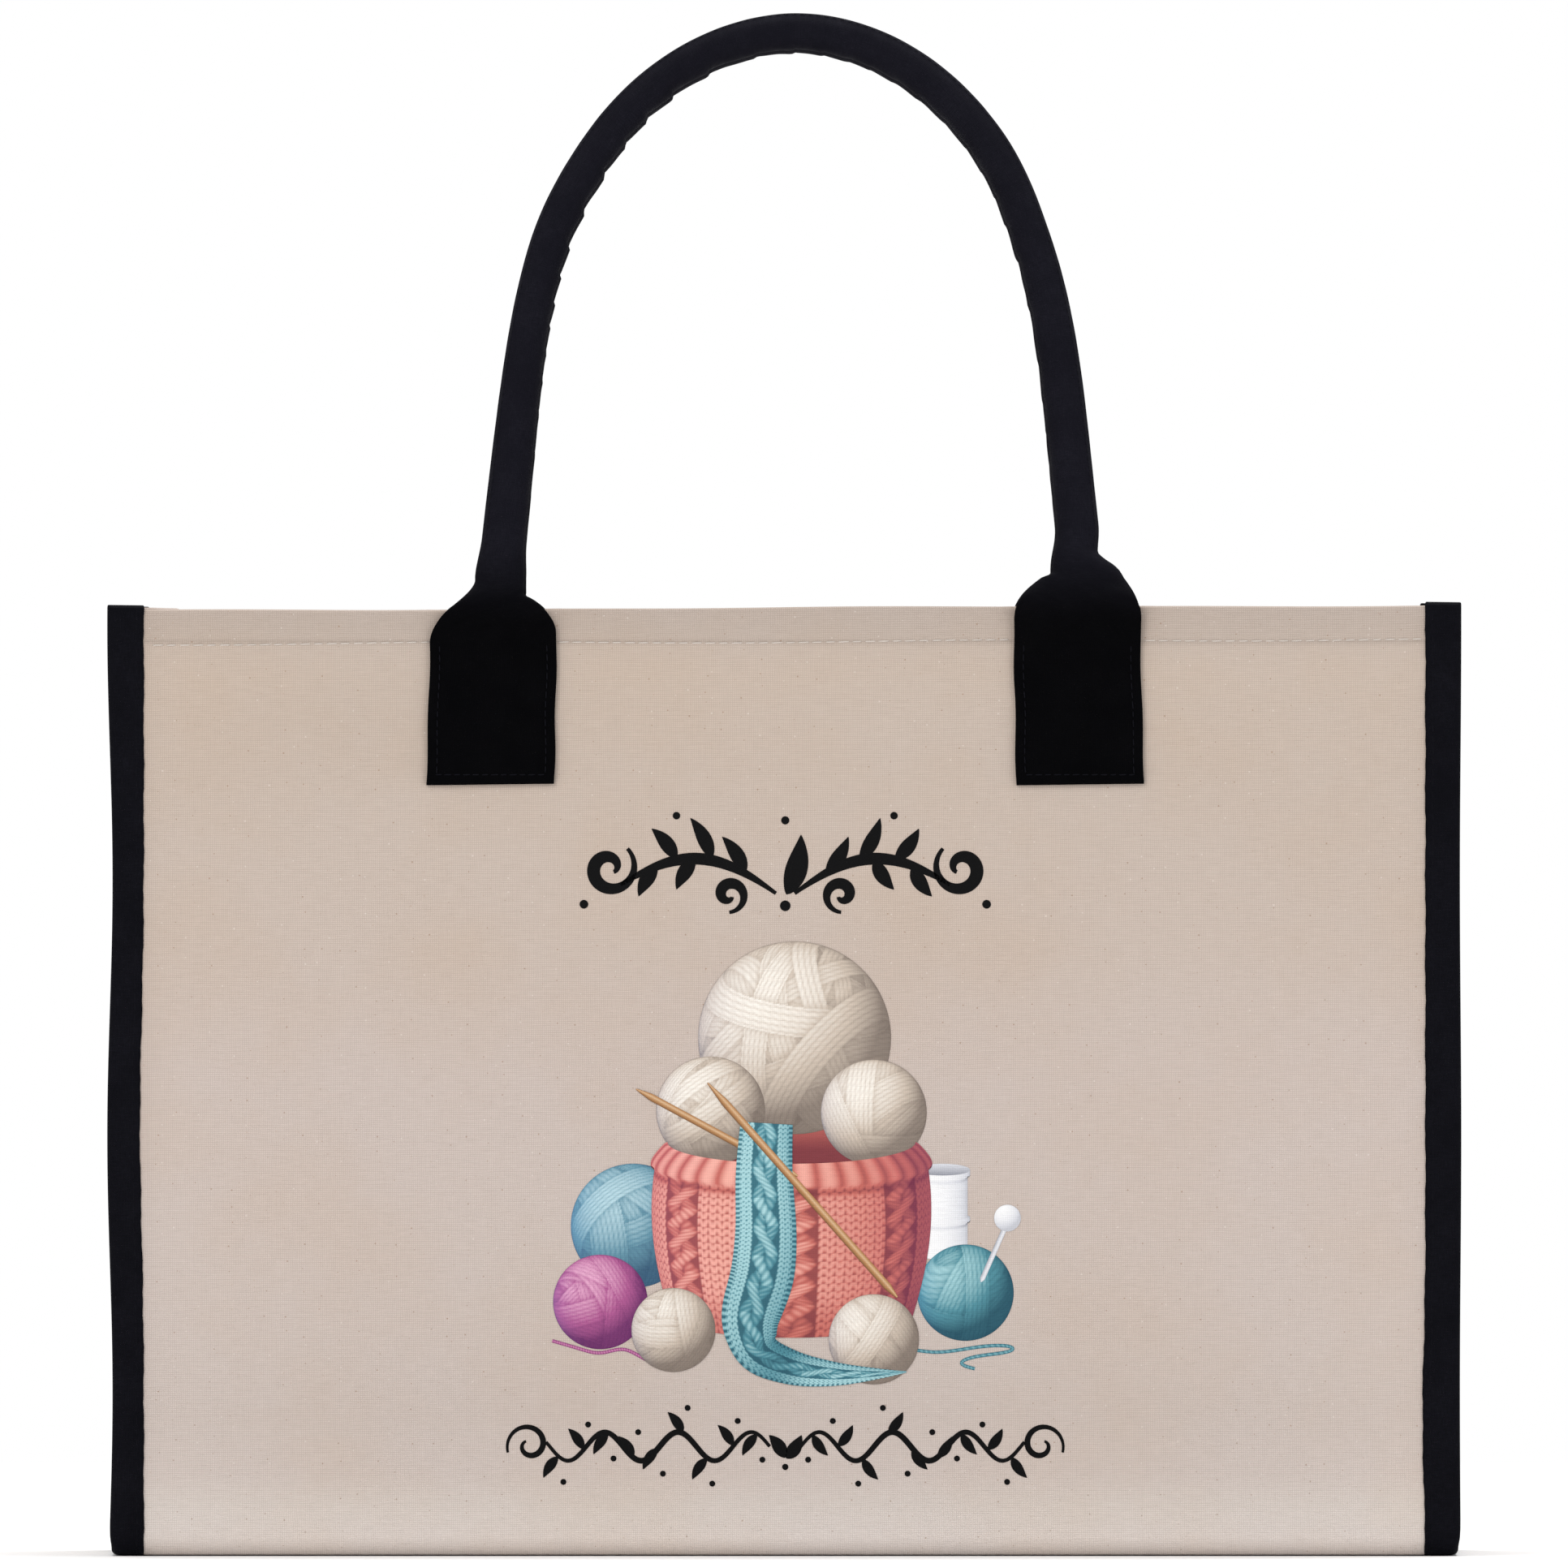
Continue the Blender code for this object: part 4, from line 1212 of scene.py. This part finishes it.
def print_sheets(name, sheets):
    """One piece of print from sheets of (place, colour, lift): a (rows, columns, 2) grid of x and z whose
    columns run to the right as its rows run up, colours on it, and the height over the canvas."""
    points, quads, uvs, inks, count = [], [], [], [], 0
    for place, colour, lift in sheets:
        x, z = place[..., 0], place[..., 1]
        y = -(HALF_DEPTH + wall_relief(x, z, -1) + lift)
        rows, columns = x.shape
        numbers, flat = grid_quads(rows, columns, False)
        i, j = rows // 2, columns // 2
        right, up = place[i, j] - place[i, j - 1], place[i, j] - place[i - 1, j]
        way = right[0] * up[1] - right[1] * up[0]
        numbers, flat = (numbers, flat) if way > 0 else (numbers[:, ::-1], flat[:, ::-1])
        points.append(np.stack([x, y, z], -1).reshape(-1, 3))
        quads.append(numbers + count)
        uvs.append(place.reshape(-1, 2)[flat])
        inks.append((colour + np.zeros((rows, columns, 3))).reshape(-1, 3))
        count += rows * columns
    piece = write_mesh(name, join(points), join(quads), join(uvs))
    paint(piece, "Ink", join([join(inks), np.ones((count, 1))], 1))
    return finish_piece(piece, INK)


def ramp(tone, dark, middle, light):
    """A colour that runs from dark through middle to light as tone goes from 0 to 1."""
    tone = np.clip(tone, 0, 1)[..., None]
    dark, middle, light = map(np.array, (dark, middle, light))
    low, high = dark + (middle - dark) * tone * 2, middle + (light - middle) * (tone * 2 - 1)
    return np.where(tone < 0.5, low, high)


# %% [markdown]
# A ball of yarn is wound in bands that cross each other. On a unit ball, a band is the points p where the
# distance p.a from a plane lies within a few strands of its middle, and the strands in it are equal steps
# of p.a. Each new band covers the ones before and leaves a soft shadow along its edges.


# %% Balls of yarn
def square_disc(count):
    """A square grid bent into a disc: u sqrt(1 - v^2/2), v sqrt(1 - u^2/2). It has no pole."""
    u, v = np.meshgrid(np.linspace(-1, 1, count), np.linspace(-1, 1, count))
    return u * np.sqrt(1 - v * v / 2), v * np.sqrt(1 - u * u / 2)


def ball_tone(u, v, seed, strand, bands):
    """Brightness of the windings: per band a rounded strand sqrt(1 - (2f - 1)^2), twisted by a sine along
    it, and 1 - 0.42 exp(-d) beside each band's edge."""
    p = np.stack([u, v, np.sqrt(np.clip(1 - u * u - v * v, 0, 1))], -1)
    random = np.random.default_rng(seed)
    shade = np.full(u.shape, 0.5)
    for _ in range(bands):
        turn, tilt = random.uniform(0, math.pi), random.uniform(-0.55, 0.55)
        level = math.cos(tilt)
        axis = np.array([math.cos(turn) * level, math.sin(turn) * level, math.sin(tilt)])
        along = np.cross(axis, (0, 0, 1))
        middle, half = random.uniform(-0.65, 0.65), strand * random.integers(4, 8) / 2
        place = p @ axis - middle + 0.05 * (p @ along) ** 2
        part = place / strand - np.floor(place / strand)
        fibre = 0.07 * np.sin(p @ along * 3.6 / strand + part * 5)
        rounded = 0.42 + 0.5 * np.sqrt(np.clip(1 - (2 * part - 1) ** 2, 0, 1)) + fibre
        outside = np.abs(place) - half
        shadow = 1 - 0.42 * np.exp(-np.clip(outside, 0, 1) / (0.7 * strand))
        shade = np.where(outside < 0, rounded, shade * shadow)
    return shade, p


def yarn_ball(x, z, radius, colours, seed, lift, strand_mm=1.5, bands=26):
    """A printed ball: windings times soft light from the upper left, darker towards the rim."""
    u, v = square_disc(int(2 * radius / 0.42) + 8)
    shade, p = ball_tone(u, v, seed, strand_mm / radius, bands)
    light = np.clip(p @ np.array([-0.42, 0.58, 0.70]), 0, 1)
    rim = np.clip(p[..., 2], 0, 1) ** 0.45
    tone = (0.16 + 0.84 * light) * (0.35 + 0.72 * shade) * (0.45 + 0.55 * rim)
    cool = 0.16 * np.clip(-p[..., 0], 0, 1)[..., None] ** 3 * np.array([0.1, 0.25, 0.6])
    place = np.stack([x + radius * u, z + radius * v], -1) * MM
    return place, ramp(tone, *colours) + cool, lift * MM


CREAM = (0.13, 0.10, 0.085), (0.58, 0.49, 0.41), (0.95, 0.90, 0.83)
CORAL = (0.13, 0.022, 0.04), (0.56, 0.15, 0.125), (0.88, 0.43, 0.36)
TEAL = (0.008, 0.045, 0.08), (0.085, 0.27, 0.33), (0.40, 0.66, 0.70)
BLUE = (0.018, 0.055, 0.13), (0.13, 0.29, 0.38), (0.50, 0.70, 0.77)
MAGENTA = (0.085, 0.014, 0.10), (0.42, 0.105, 0.28), (0.84, 0.45, 0.64)

print_sheets("printed_yarn_back", [
    yarn_ball(-49, 106, 20, BLUE, 3, 0.10),
    yarn_ball(58, 84.5, 15.5, TEAL, 5, 0.12),
])
print_sheets("printed_yarn_left", [yarn_ball(-59.5, 81.5, 15.2, MAGENTA, 8, 0.14, 1.3)])

# %% [markdown]
# Knitting is rows of small V shapes. In a cell one stitch wide and one high, the two legs of the V are the
# places where the distance from the cell's middle line is 0.08 + 0.3 times the height in the cell. A cable
# is two bundles of stitches that swing across each other as sines, half a turn apart.


# %% Knitting
def knit_tone(a, b):
    """Brightness of plain knitting at column a and row b, both counted in stitches."""
    x, y = a - np.floor(a) - 0.5, b - np.floor(b)
    leg = np.abs(np.abs(x) - 0.08 - 0.30 * y)
    rounded = np.sqrt(np.clip(1 - (leg / 0.27) ** 2, 0, 1))
    return 0.36 + 0.6 * rounded * (0.75 + 0.25 * np.clip(np.minimum(y, 1 - y) * 5, 0, 1))


def cable_tone(u, t, wide):
    """Brightness of a cable of half-width wide: two rounded bundles at 0.55 wide sin(t) and its
    negative, the front one being the one whose cosine is positive."""
    best = np.full(np.broadcast(u, t).shape, 0.22)
    for sign in (-1, 1):
        across = (u - sign * 0.55 * wide * np.sin(t)) / (0.52 * wide)
        bundle = np.sqrt(np.clip(1 - across**2, 0, 1))
        stripe = 0.82 + 0.18 * np.sin(9 * t - sign * 5 * across)
        over = bundle > 0.05
        front = sign * np.cos(t) > 0
        value = (0.25 + 0.72 * bundle) * stripe * np.where(front, 1.0, 0.72)
        best = np.where(over & (front | (best < 0.23)), value, best)
    return best


def basket_front():
    """The face of a knitted basket: x = W(v) sin(a), with rings that dip at the middle by D cos(a)."""
    a, v = np.meshgrid(np.linspace(-math.pi / 2, math.pi / 2, 210), np.linspace(0, 1, 150))
    wide = 35.5 + 9.5 * np.sin(math.pi * np.clip(v * 0.62 + 0.12, 0, 1))
    wide = wide - 2.5 * smooth_step((v - 0.86) / 0.14)
    rim = smooth_step((v - 0.84) / 0.03)
    wide = wide + 2.0 * rim * np.sin(math.pi * np.clip((v - 0.84) / 0.16, 0, 1)) ** 0.5
    x = 2 + wide * np.sin(a)
    z = 77 + 56 * v - 7 * np.cos(a)
    body = knit_tone(a * 12.5, v * 23)
    for place in (-0.92, 0.0, 0.92):
        near = np.abs(a - place) < 0.19
        body = np.where(near, cable_tone(a - place, v * 26 + place, 0.17), body)
    ribs = 0.40 + 0.58 * np.abs(np.sin(a * 17))
    light = np.clip(np.cos(a + 0.45), 0, 1) ** 0.8
    tone = (0.30 + 0.75 * light) * (body * (1 - rim) + ribs * rim)
    tone = tone * (1 - 0.45 * bell(v - 0.83, 0.025)) * (0.62 + 0.38 * smooth_step(v / 0.3))
    violet = 0.10 * np.clip(np.abs(np.sin(a)) - 0.5, 0, 1)[..., None] * np.array([0.25, 0.05, 0.6])
    return np.stack([x, z], -1) * MM, ramp(tone, *CORAL) + violet, 0.24 * MM


def basket_inside():
    """The dark inside of the basket seen over its rim: an ellipse."""
    u, v = square_disc(60)
    tone = 0.10 + 0.25 * smooth_step((v + 0.2) / 1.2)
    return np.stack([2 + 41.5 * u, 131 + 7.5 * v], -1) * MM, ramp(tone, *CORAL), 0.10 * MM


print_sheets("printed_yarn_top", [yarn_ball(3, 166.5, 31, CREAM, 12, 0.16, 1.7, 30)])
print_sheets("printed_basket_yarn", [
    basket_inside(),
    yarn_ball(-24, 143, 17.5, CREAM, 21, 0.18, 1.5),
    yarn_ball(28.5, 142.5, 17, CREAM, 23, 0.19, 1.5),
])
print_sheets("printed_basket", [basket_front()])
print_sheets("printed_yarn_feet", [
    yarn_ball(-36, 72.5, 13.5, CREAM, 31, 0.28, 1.3),
    yarn_ball(28.5, 69.5, 14.5, CREAM, 33, 0.28, 1.3),
])


# %% The scarf on the needles
def ribbon(line, half):
    """A flat strip as a grid of (x, z): the line's points plus its sideways direction times the width."""
    way = unit(np.gradient(line, axis=0))
    side = np.stack([-way[:, 1], way[:, 0]], 1)
    across = np.linspace(-1, 1, half.shape[1] if half.ndim > 1 else 5)
    half = half if half.ndim > 1 else half[:, None]
    return line[:, None] + side[:, None] * (across * half)[..., None]


def through(places, count, passes):
    """A smooth line through a few places, made by averaging straight pieces. Any number of columns."""
    places = np.array(places, float)
    at = np.linspace(0, len(places) - 1, count)
    steps = range(len(places))
    return np.stack([smoothed(np.interp(at, steps, column), passes) for column in places.T], 1)


def scarf():
    """A strip of cabled knitting that hangs over the basket's rim, turns at its foot and runs out to the
    right in a point. Each place gives x, z and the half-width."""
    places = (-6, 139, 8.4), (-7, 122, 9.2), (-6, 105, 9.8), (-7, 90, 10.4), (-12, 76, 9.6)
    places += (-9.5, 64.5, 6.8), (4, 59.5, 5.4), (18, 58, 3.6), (33, 58.5, 1.2), (39, 59, 0.2)
    line = through(places, 460, 420)
    across = np.linspace(-1, 1, 64)
    place = ribbon(line[:, :2], line[:, 2:] + 0 * across)
    run = run_of(line[:, :2])
    u, v = np.meshgrid(across, run / run[-1])
    tone = knit_tone(u * 5.5 + 0.5, v * 84)
    tone = np.where(np.abs(u) < 0.46, cable_tone(u, v * 41, 0.40), tone)
    tone = np.where(np.abs(u) > 0.86, 0.55 + 0.4 * np.sin(v * 510), tone)
    roll = 0.55 + 0.45 * np.sqrt(np.clip(1 - (np.abs(u) - 0.1) ** 4, 0, 1)) - 0.16 * u
    shade = 1.04 - 0.42 * bell(v - 0.66, 0.07) + 0.1 * np.sin(9 * v)
    return place * MM, ramp(tone * roll * shade, *TEAL), 0.34 * MM


def needle(start, end, wide, colours, lift, blunt):
    """A straight needle, tapered to a point over its last eighth, with a bright line along it."""
    t = np.linspace(0, 1, 60)
    line = np.array(start) + (np.array(end) - np.array(start)) * t[:, None]
    half = wide / 2 * np.minimum(1, (t + blunt) * 9) * np.minimum(1, (1 - t + 0.02) * 14)
    across = np.linspace(-1, 1, 9)
    shine = 0.75 - 0.5 * np.abs(across - 0.25)
    colour = ramp(shine + 0 * t[:, None], *colours)
    return ribbon(line, half[:, None] + 0 * across) * MM, colour, lift * MM


TAN = (0.10, 0.04, 0.015), (0.48, 0.25, 0.11), (0.86, 0.66, 0.44)
print_sheets("printed_scarf", [
    needle((-48, 150), (4, 122), 2.3, TAN, 0.30, 0.02),
    scarf(),
    needle((-25, 152), (36, 83), 2.5, TAN, 0.42, 0.02),
])


# %% Pin, spool and loose ends
PALE = (0.30, 0.31, 0.36), (0.66, 0.67, 0.72), (0.95, 0.95, 0.96)


def spool():
    """An empty spool: a pale cylinder with two raised rings and an open top."""
    a, v = np.meshgrid(np.linspace(-math.pi / 2, math.pi / 2, 60), np.linspace(0, 1, 80))
    x = 50.5 + (8.2 + 0.8 * ((v > 0.93) | (np.abs(v - 0.42) < 0.03))) * np.sin(a)
    z = 97 + 27 * v - 1.8 * np.cos(a)
    tone = 0.45 + 0.5 * np.cos(a + 0.5) - 0.25 * bell(v - 0.37, 0.02) - 0.2 * bell(v - 0.91, 0.02)
    u, w = square_disc(30)
    return [
        (np.stack([50.5 + 9.0 * u, 124 + 2.0 * w], -1) * MM, ramp(0.25 + 0.3 * w, *PALE), 0.07 * MM),
        (np.stack([x, z], -1) * MM, ramp(tone, *PALE), 0.09 * MM),
    ]


def pin_head():
    u, v = square_disc(40)
    front = np.sqrt(np.clip(1 - u * u - v * v, 0, 1))
    tone = 0.35 + 0.6 * np.clip(-0.4 * u + 0.6 * v + 0.7 * front, 0, 1)
    return np.stack([71.5 + 4.3 * u, 108.5 + 4.3 * v], -1) * MM, ramp(tone, *PALE), 0.16 * MM


def loose_end(places, colours, lift):
    """A loose end of yarn: a thin twisted ribbon through a few places."""
    line = through(places, 120, 160)
    across = np.linspace(-1, 1, 5)
    tone = 0.65 - 0.4 * np.abs(across) + 0.15 * np.sin(np.linspace(0, 240, 120)[:, None] + across)
    return ribbon(line, np.full((120, 1), 0.55) + 0 * across) * MM, ramp(tone, *colours), lift * MM


TEAL_END = (42, 66), (50, 64.5), (62, 67.5), (74, 68), (75, 65), (60, 64.5), (54, 61.5), (61, 60)
print_sheets("printed_notions", [
    *spool(),
    needle((71, 106), (63, 88), 1.6, PALE, 0.15, 1),
    pin_head(),
    loose_end([(-75, 69), (-68, 67), (-60, 64.5), (-52, 67), (-45, 63)], MAGENTA, 0.11),
    loose_end(TEAL_END, TEAL, 0.11),
])

# %% [markdown]
# ## The black ornaments
# Over and under the picture there are two ornaments in black, made of pen strokes. A stroke is a ribbon
# whose width swells in its middle, as a broad pen draws it. A scroll is a spiral whose radius shrinks
# evenly as it turns, and a leaf is a ribbon whose width follows a sine.

# %% Ornaments
BLACK_INK = np.array((0.0022, 0.0022, 0.0026))


def stroke(line, widest, thinnest):
    """A ribbon with half-width from thinnest at its ends to widest in its middle."""
    t = np.linspace(0, 1, len(line))
    half = thinnest + (widest - thinnest) * np.sin(math.pi * t) ** 1.2
    return ribbon(line, half) * MM, BLACK_INK, 0.13 * MM


def leaf(x, z, heading, long, wide):
    """A leaf from (x, z) in the direction heading, bent a little to one side."""
    t = np.linspace(0, 1, 28)
    bend = heading + 0.5 * (t - 0.5)
    step = long / 27
    line = np.stack([x + np.cumsum(np.cos(bend)) * step, z + np.cumsum(np.sin(bend)) * step], 1)
    return ribbon(line, wide / 2 * np.sin(math.pi * t**0.8) ** 0.9 + 0.05) * MM, BLACK_INK, 0.14 * MM


def scroll(x, z, radius, start, turns, side):
    """A spiral about (x, z): radius (1 - 0.8 t), turning from the angle start."""
    t = np.linspace(0, 1, 90)
    angle = start + side * 2 * math.pi * turns * t
    r = radius * (1 - 0.8 * t)
    return np.stack([x + r * np.cos(angle), z + r * np.sin(angle)], 1)


def dot(x, z, radius):
    u, v = square_disc(12)
    return np.stack([x + radius * u, z + radius * v], -1) * MM, BLACK_INK, 0.15 * MM


# Leaves of a branch: how far along it, the turn away from it and the length in millimetres.
LEAVES = (0.20, 1.0, 12), (0.42, 1.1, 13), (0.64, 0.9, 11), (0.52, -1.0, 10), (0.76, -1.0, 10)


def top_ornament():
    """Two leafy branches that sweep out from a bud in the middle and end in scrolls."""
    sheets = [leaf(0, 212, math.pi / 2 - 0.25, 20, 7), dot(0, 209, 1.7), dot(0, 236.5, 1.3)]
    for side in (-1, 1):
        t = np.linspace(0, 1, 120)
        branch = np.stack([side * (3 + 50 * t), 213 + 15 * np.sin(2.6 * t) * (1 - 0.25 * t) - 3 * t], 1)
        start = math.pi / 2 - side * (math.pi / 2 - 2.3)
        end_curl = scroll(side * 56.5, 221, 8.6, start, 1.25, side)
        low_curl = scroll(side * 18, 212.5, 5.6, -math.pi / 2, 1.15, -side)
        sheets += [stroke(branch, 1.9, 0.6), stroke(end_curl, 2.1, 0.6), stroke(low_curl, 1.8, 0.55)]
        for place, turn, long in LEAVES:
            px, pz = branch[int(place * 119)]
            heading = turn if side > 0 else math.pi - turn
            sheets.append(leaf(px, pz, heading, long * 1.15, 4.6))
        sheets += [dot(side * 64.8, 209.5, 1.4), dot(side * 35, 238, 1.2)]
    return sheets


def low_ornament():
    """A fine waving vine with small leaves and berries on both sides, closed by a curl at each end."""
    sheets = [leaf(0, 31, math.pi / 2 + lean, 9, 4.2) for lean in (0.6, -0.6)] + [dot(0, 28.4, 1.0)]
    for side in (-1, 1):
        t = np.linspace(0, 1, 300)
        vine = np.stack([side * (5 + 72 * t), 35 + 4.6 * np.sin(6.1 * math.pi * t)], 1)
        curl = scroll(side * 82.5, 35.5, 7.2, math.pi / 2 - side * (math.pi / 2 + 0.35), 1.2, side)
        sheets += [stroke(vine, 0.95, 0.55), stroke(curl, 0.95, 0.4)]
        for i in range(9):
            place = (i + 0.5) / 9
            px, pz = vine[int(place * 299)]
            up = 1 if i % 2 else -1
            heading = up * 0.95 if side > 0 else math.pi - up * 0.95
            sheets += [leaf(px, pz, heading, 8.2, 3.1), dot(px - side * 1.5, pz + up * 8.2, 0.95)]
    return sheets


print_sheets("printed_top_ornament", top_ornament())
print_sheets("printed_low_ornament", low_ornament())

# %% [markdown]
# ## Studio
# The bag stands on a white floor in soft light from everywhere, with one large lamp high on the left to
# model the folds. The camera is level, far away and on a long lens, so the front shows without
# perspective and the back handle hides behind the front one.

# %% Studio
WORLD_LIGHT = 0.5
LENS = 1600


def lamp(name, place, aim, size, power, colour):
    """A square area lamp at a place, turned to face a point."""
    light = bpy.data.lights.new(name, "AREA")
    light.size, light.energy, light.color = size, power, colour
    holder = bpy.data.objects.new(name, light)
    place, aim = Vector(place), Vector(aim)
    holder.location = place
    holder.rotation_euler = (aim - place).to_track_quat("-Z", "Y").to_euler()
    bpy.context.scene.collection.objects.link(holder)


def make_world():
    """White to the camera, and a slightly dimmer white as a source of light."""
    world = bpy.data.worlds.new("studio")
    world.use_nodes = True
    tree = world.node_tree
    background = tree.nodes["Background"]
    kinds = ("ShaderNodeBackground", "ShaderNodeLightPath", "ShaderNodeMixShader")
    white, path, mix = (tree.nodes.new(kind) for kind in kinds)
    background.inputs["Strength"].default_value = WORLD_LIGHT
    for shader in (background, white):
        shader.inputs["Color"].default_value = (1, 1, 1, 1)
    sources = (path.outputs["Is Camera Ray"], background.outputs[0], white.outputs[0])
    for source, socket in zip(sources, mix.inputs):
        tree.links.new(source, socket)
    tree.links.new(mix.outputs[0], tree.nodes["World Output"].inputs["Surface"])
    bpy.context.scene.world = world


def make_floor():
    """A wide disc, a hair below the bag, in matt white."""
    angle = np.linspace(0, 2 * math.pi, 97)[:-1]
    radius = np.array([0.0005, 0.6, 1.6, 3.0])[:, None]
    x, y = radius * np.cos(angle), radius * np.sin(angle)
    floor = cloth_grid("floor", np.stack([x, y, 0 * x - 0.3 * MM], -1)[::-1], around=True)
    nodes = Nodes("white_floor")
    floor.data.materials.append(nodes.finish((0.93, 0.93, 0.93, 1), 0.9, {"Specular IOR Level": 0.1}))


make_world()
make_floor()
lamp("key", (-2.4, -4.5, 3.4), (0, 0, 0.2), 2.6, 120, (1.0, 0.985, 0.96))
lamp("fill", (3.4, -4.0, 1.8), (0, 0, 0.2), 3.0, 40, (0.95, 0.97, 1.0))
lamp("top", (0.3, 1.2, 4.2), (0, 0, 0.1), 2.6, 170, (1, 1, 1))
camera = bpy.data.objects.new("camera", bpy.data.cameras.new("camera"))
camera.data.lens, camera.data.sensor_width = LENS, 36
camera.data.clip_end = 100
camera.location = (-0.0004, -22.52, 0.2482)
camera.rotation_euler = (math.radians(90), 0, 0)
bpy.context.scene.collection.objects.link(camera)
bpy.context.scene.camera = camera
bpy.context.scene.view_settings.view_transform = "Standard"
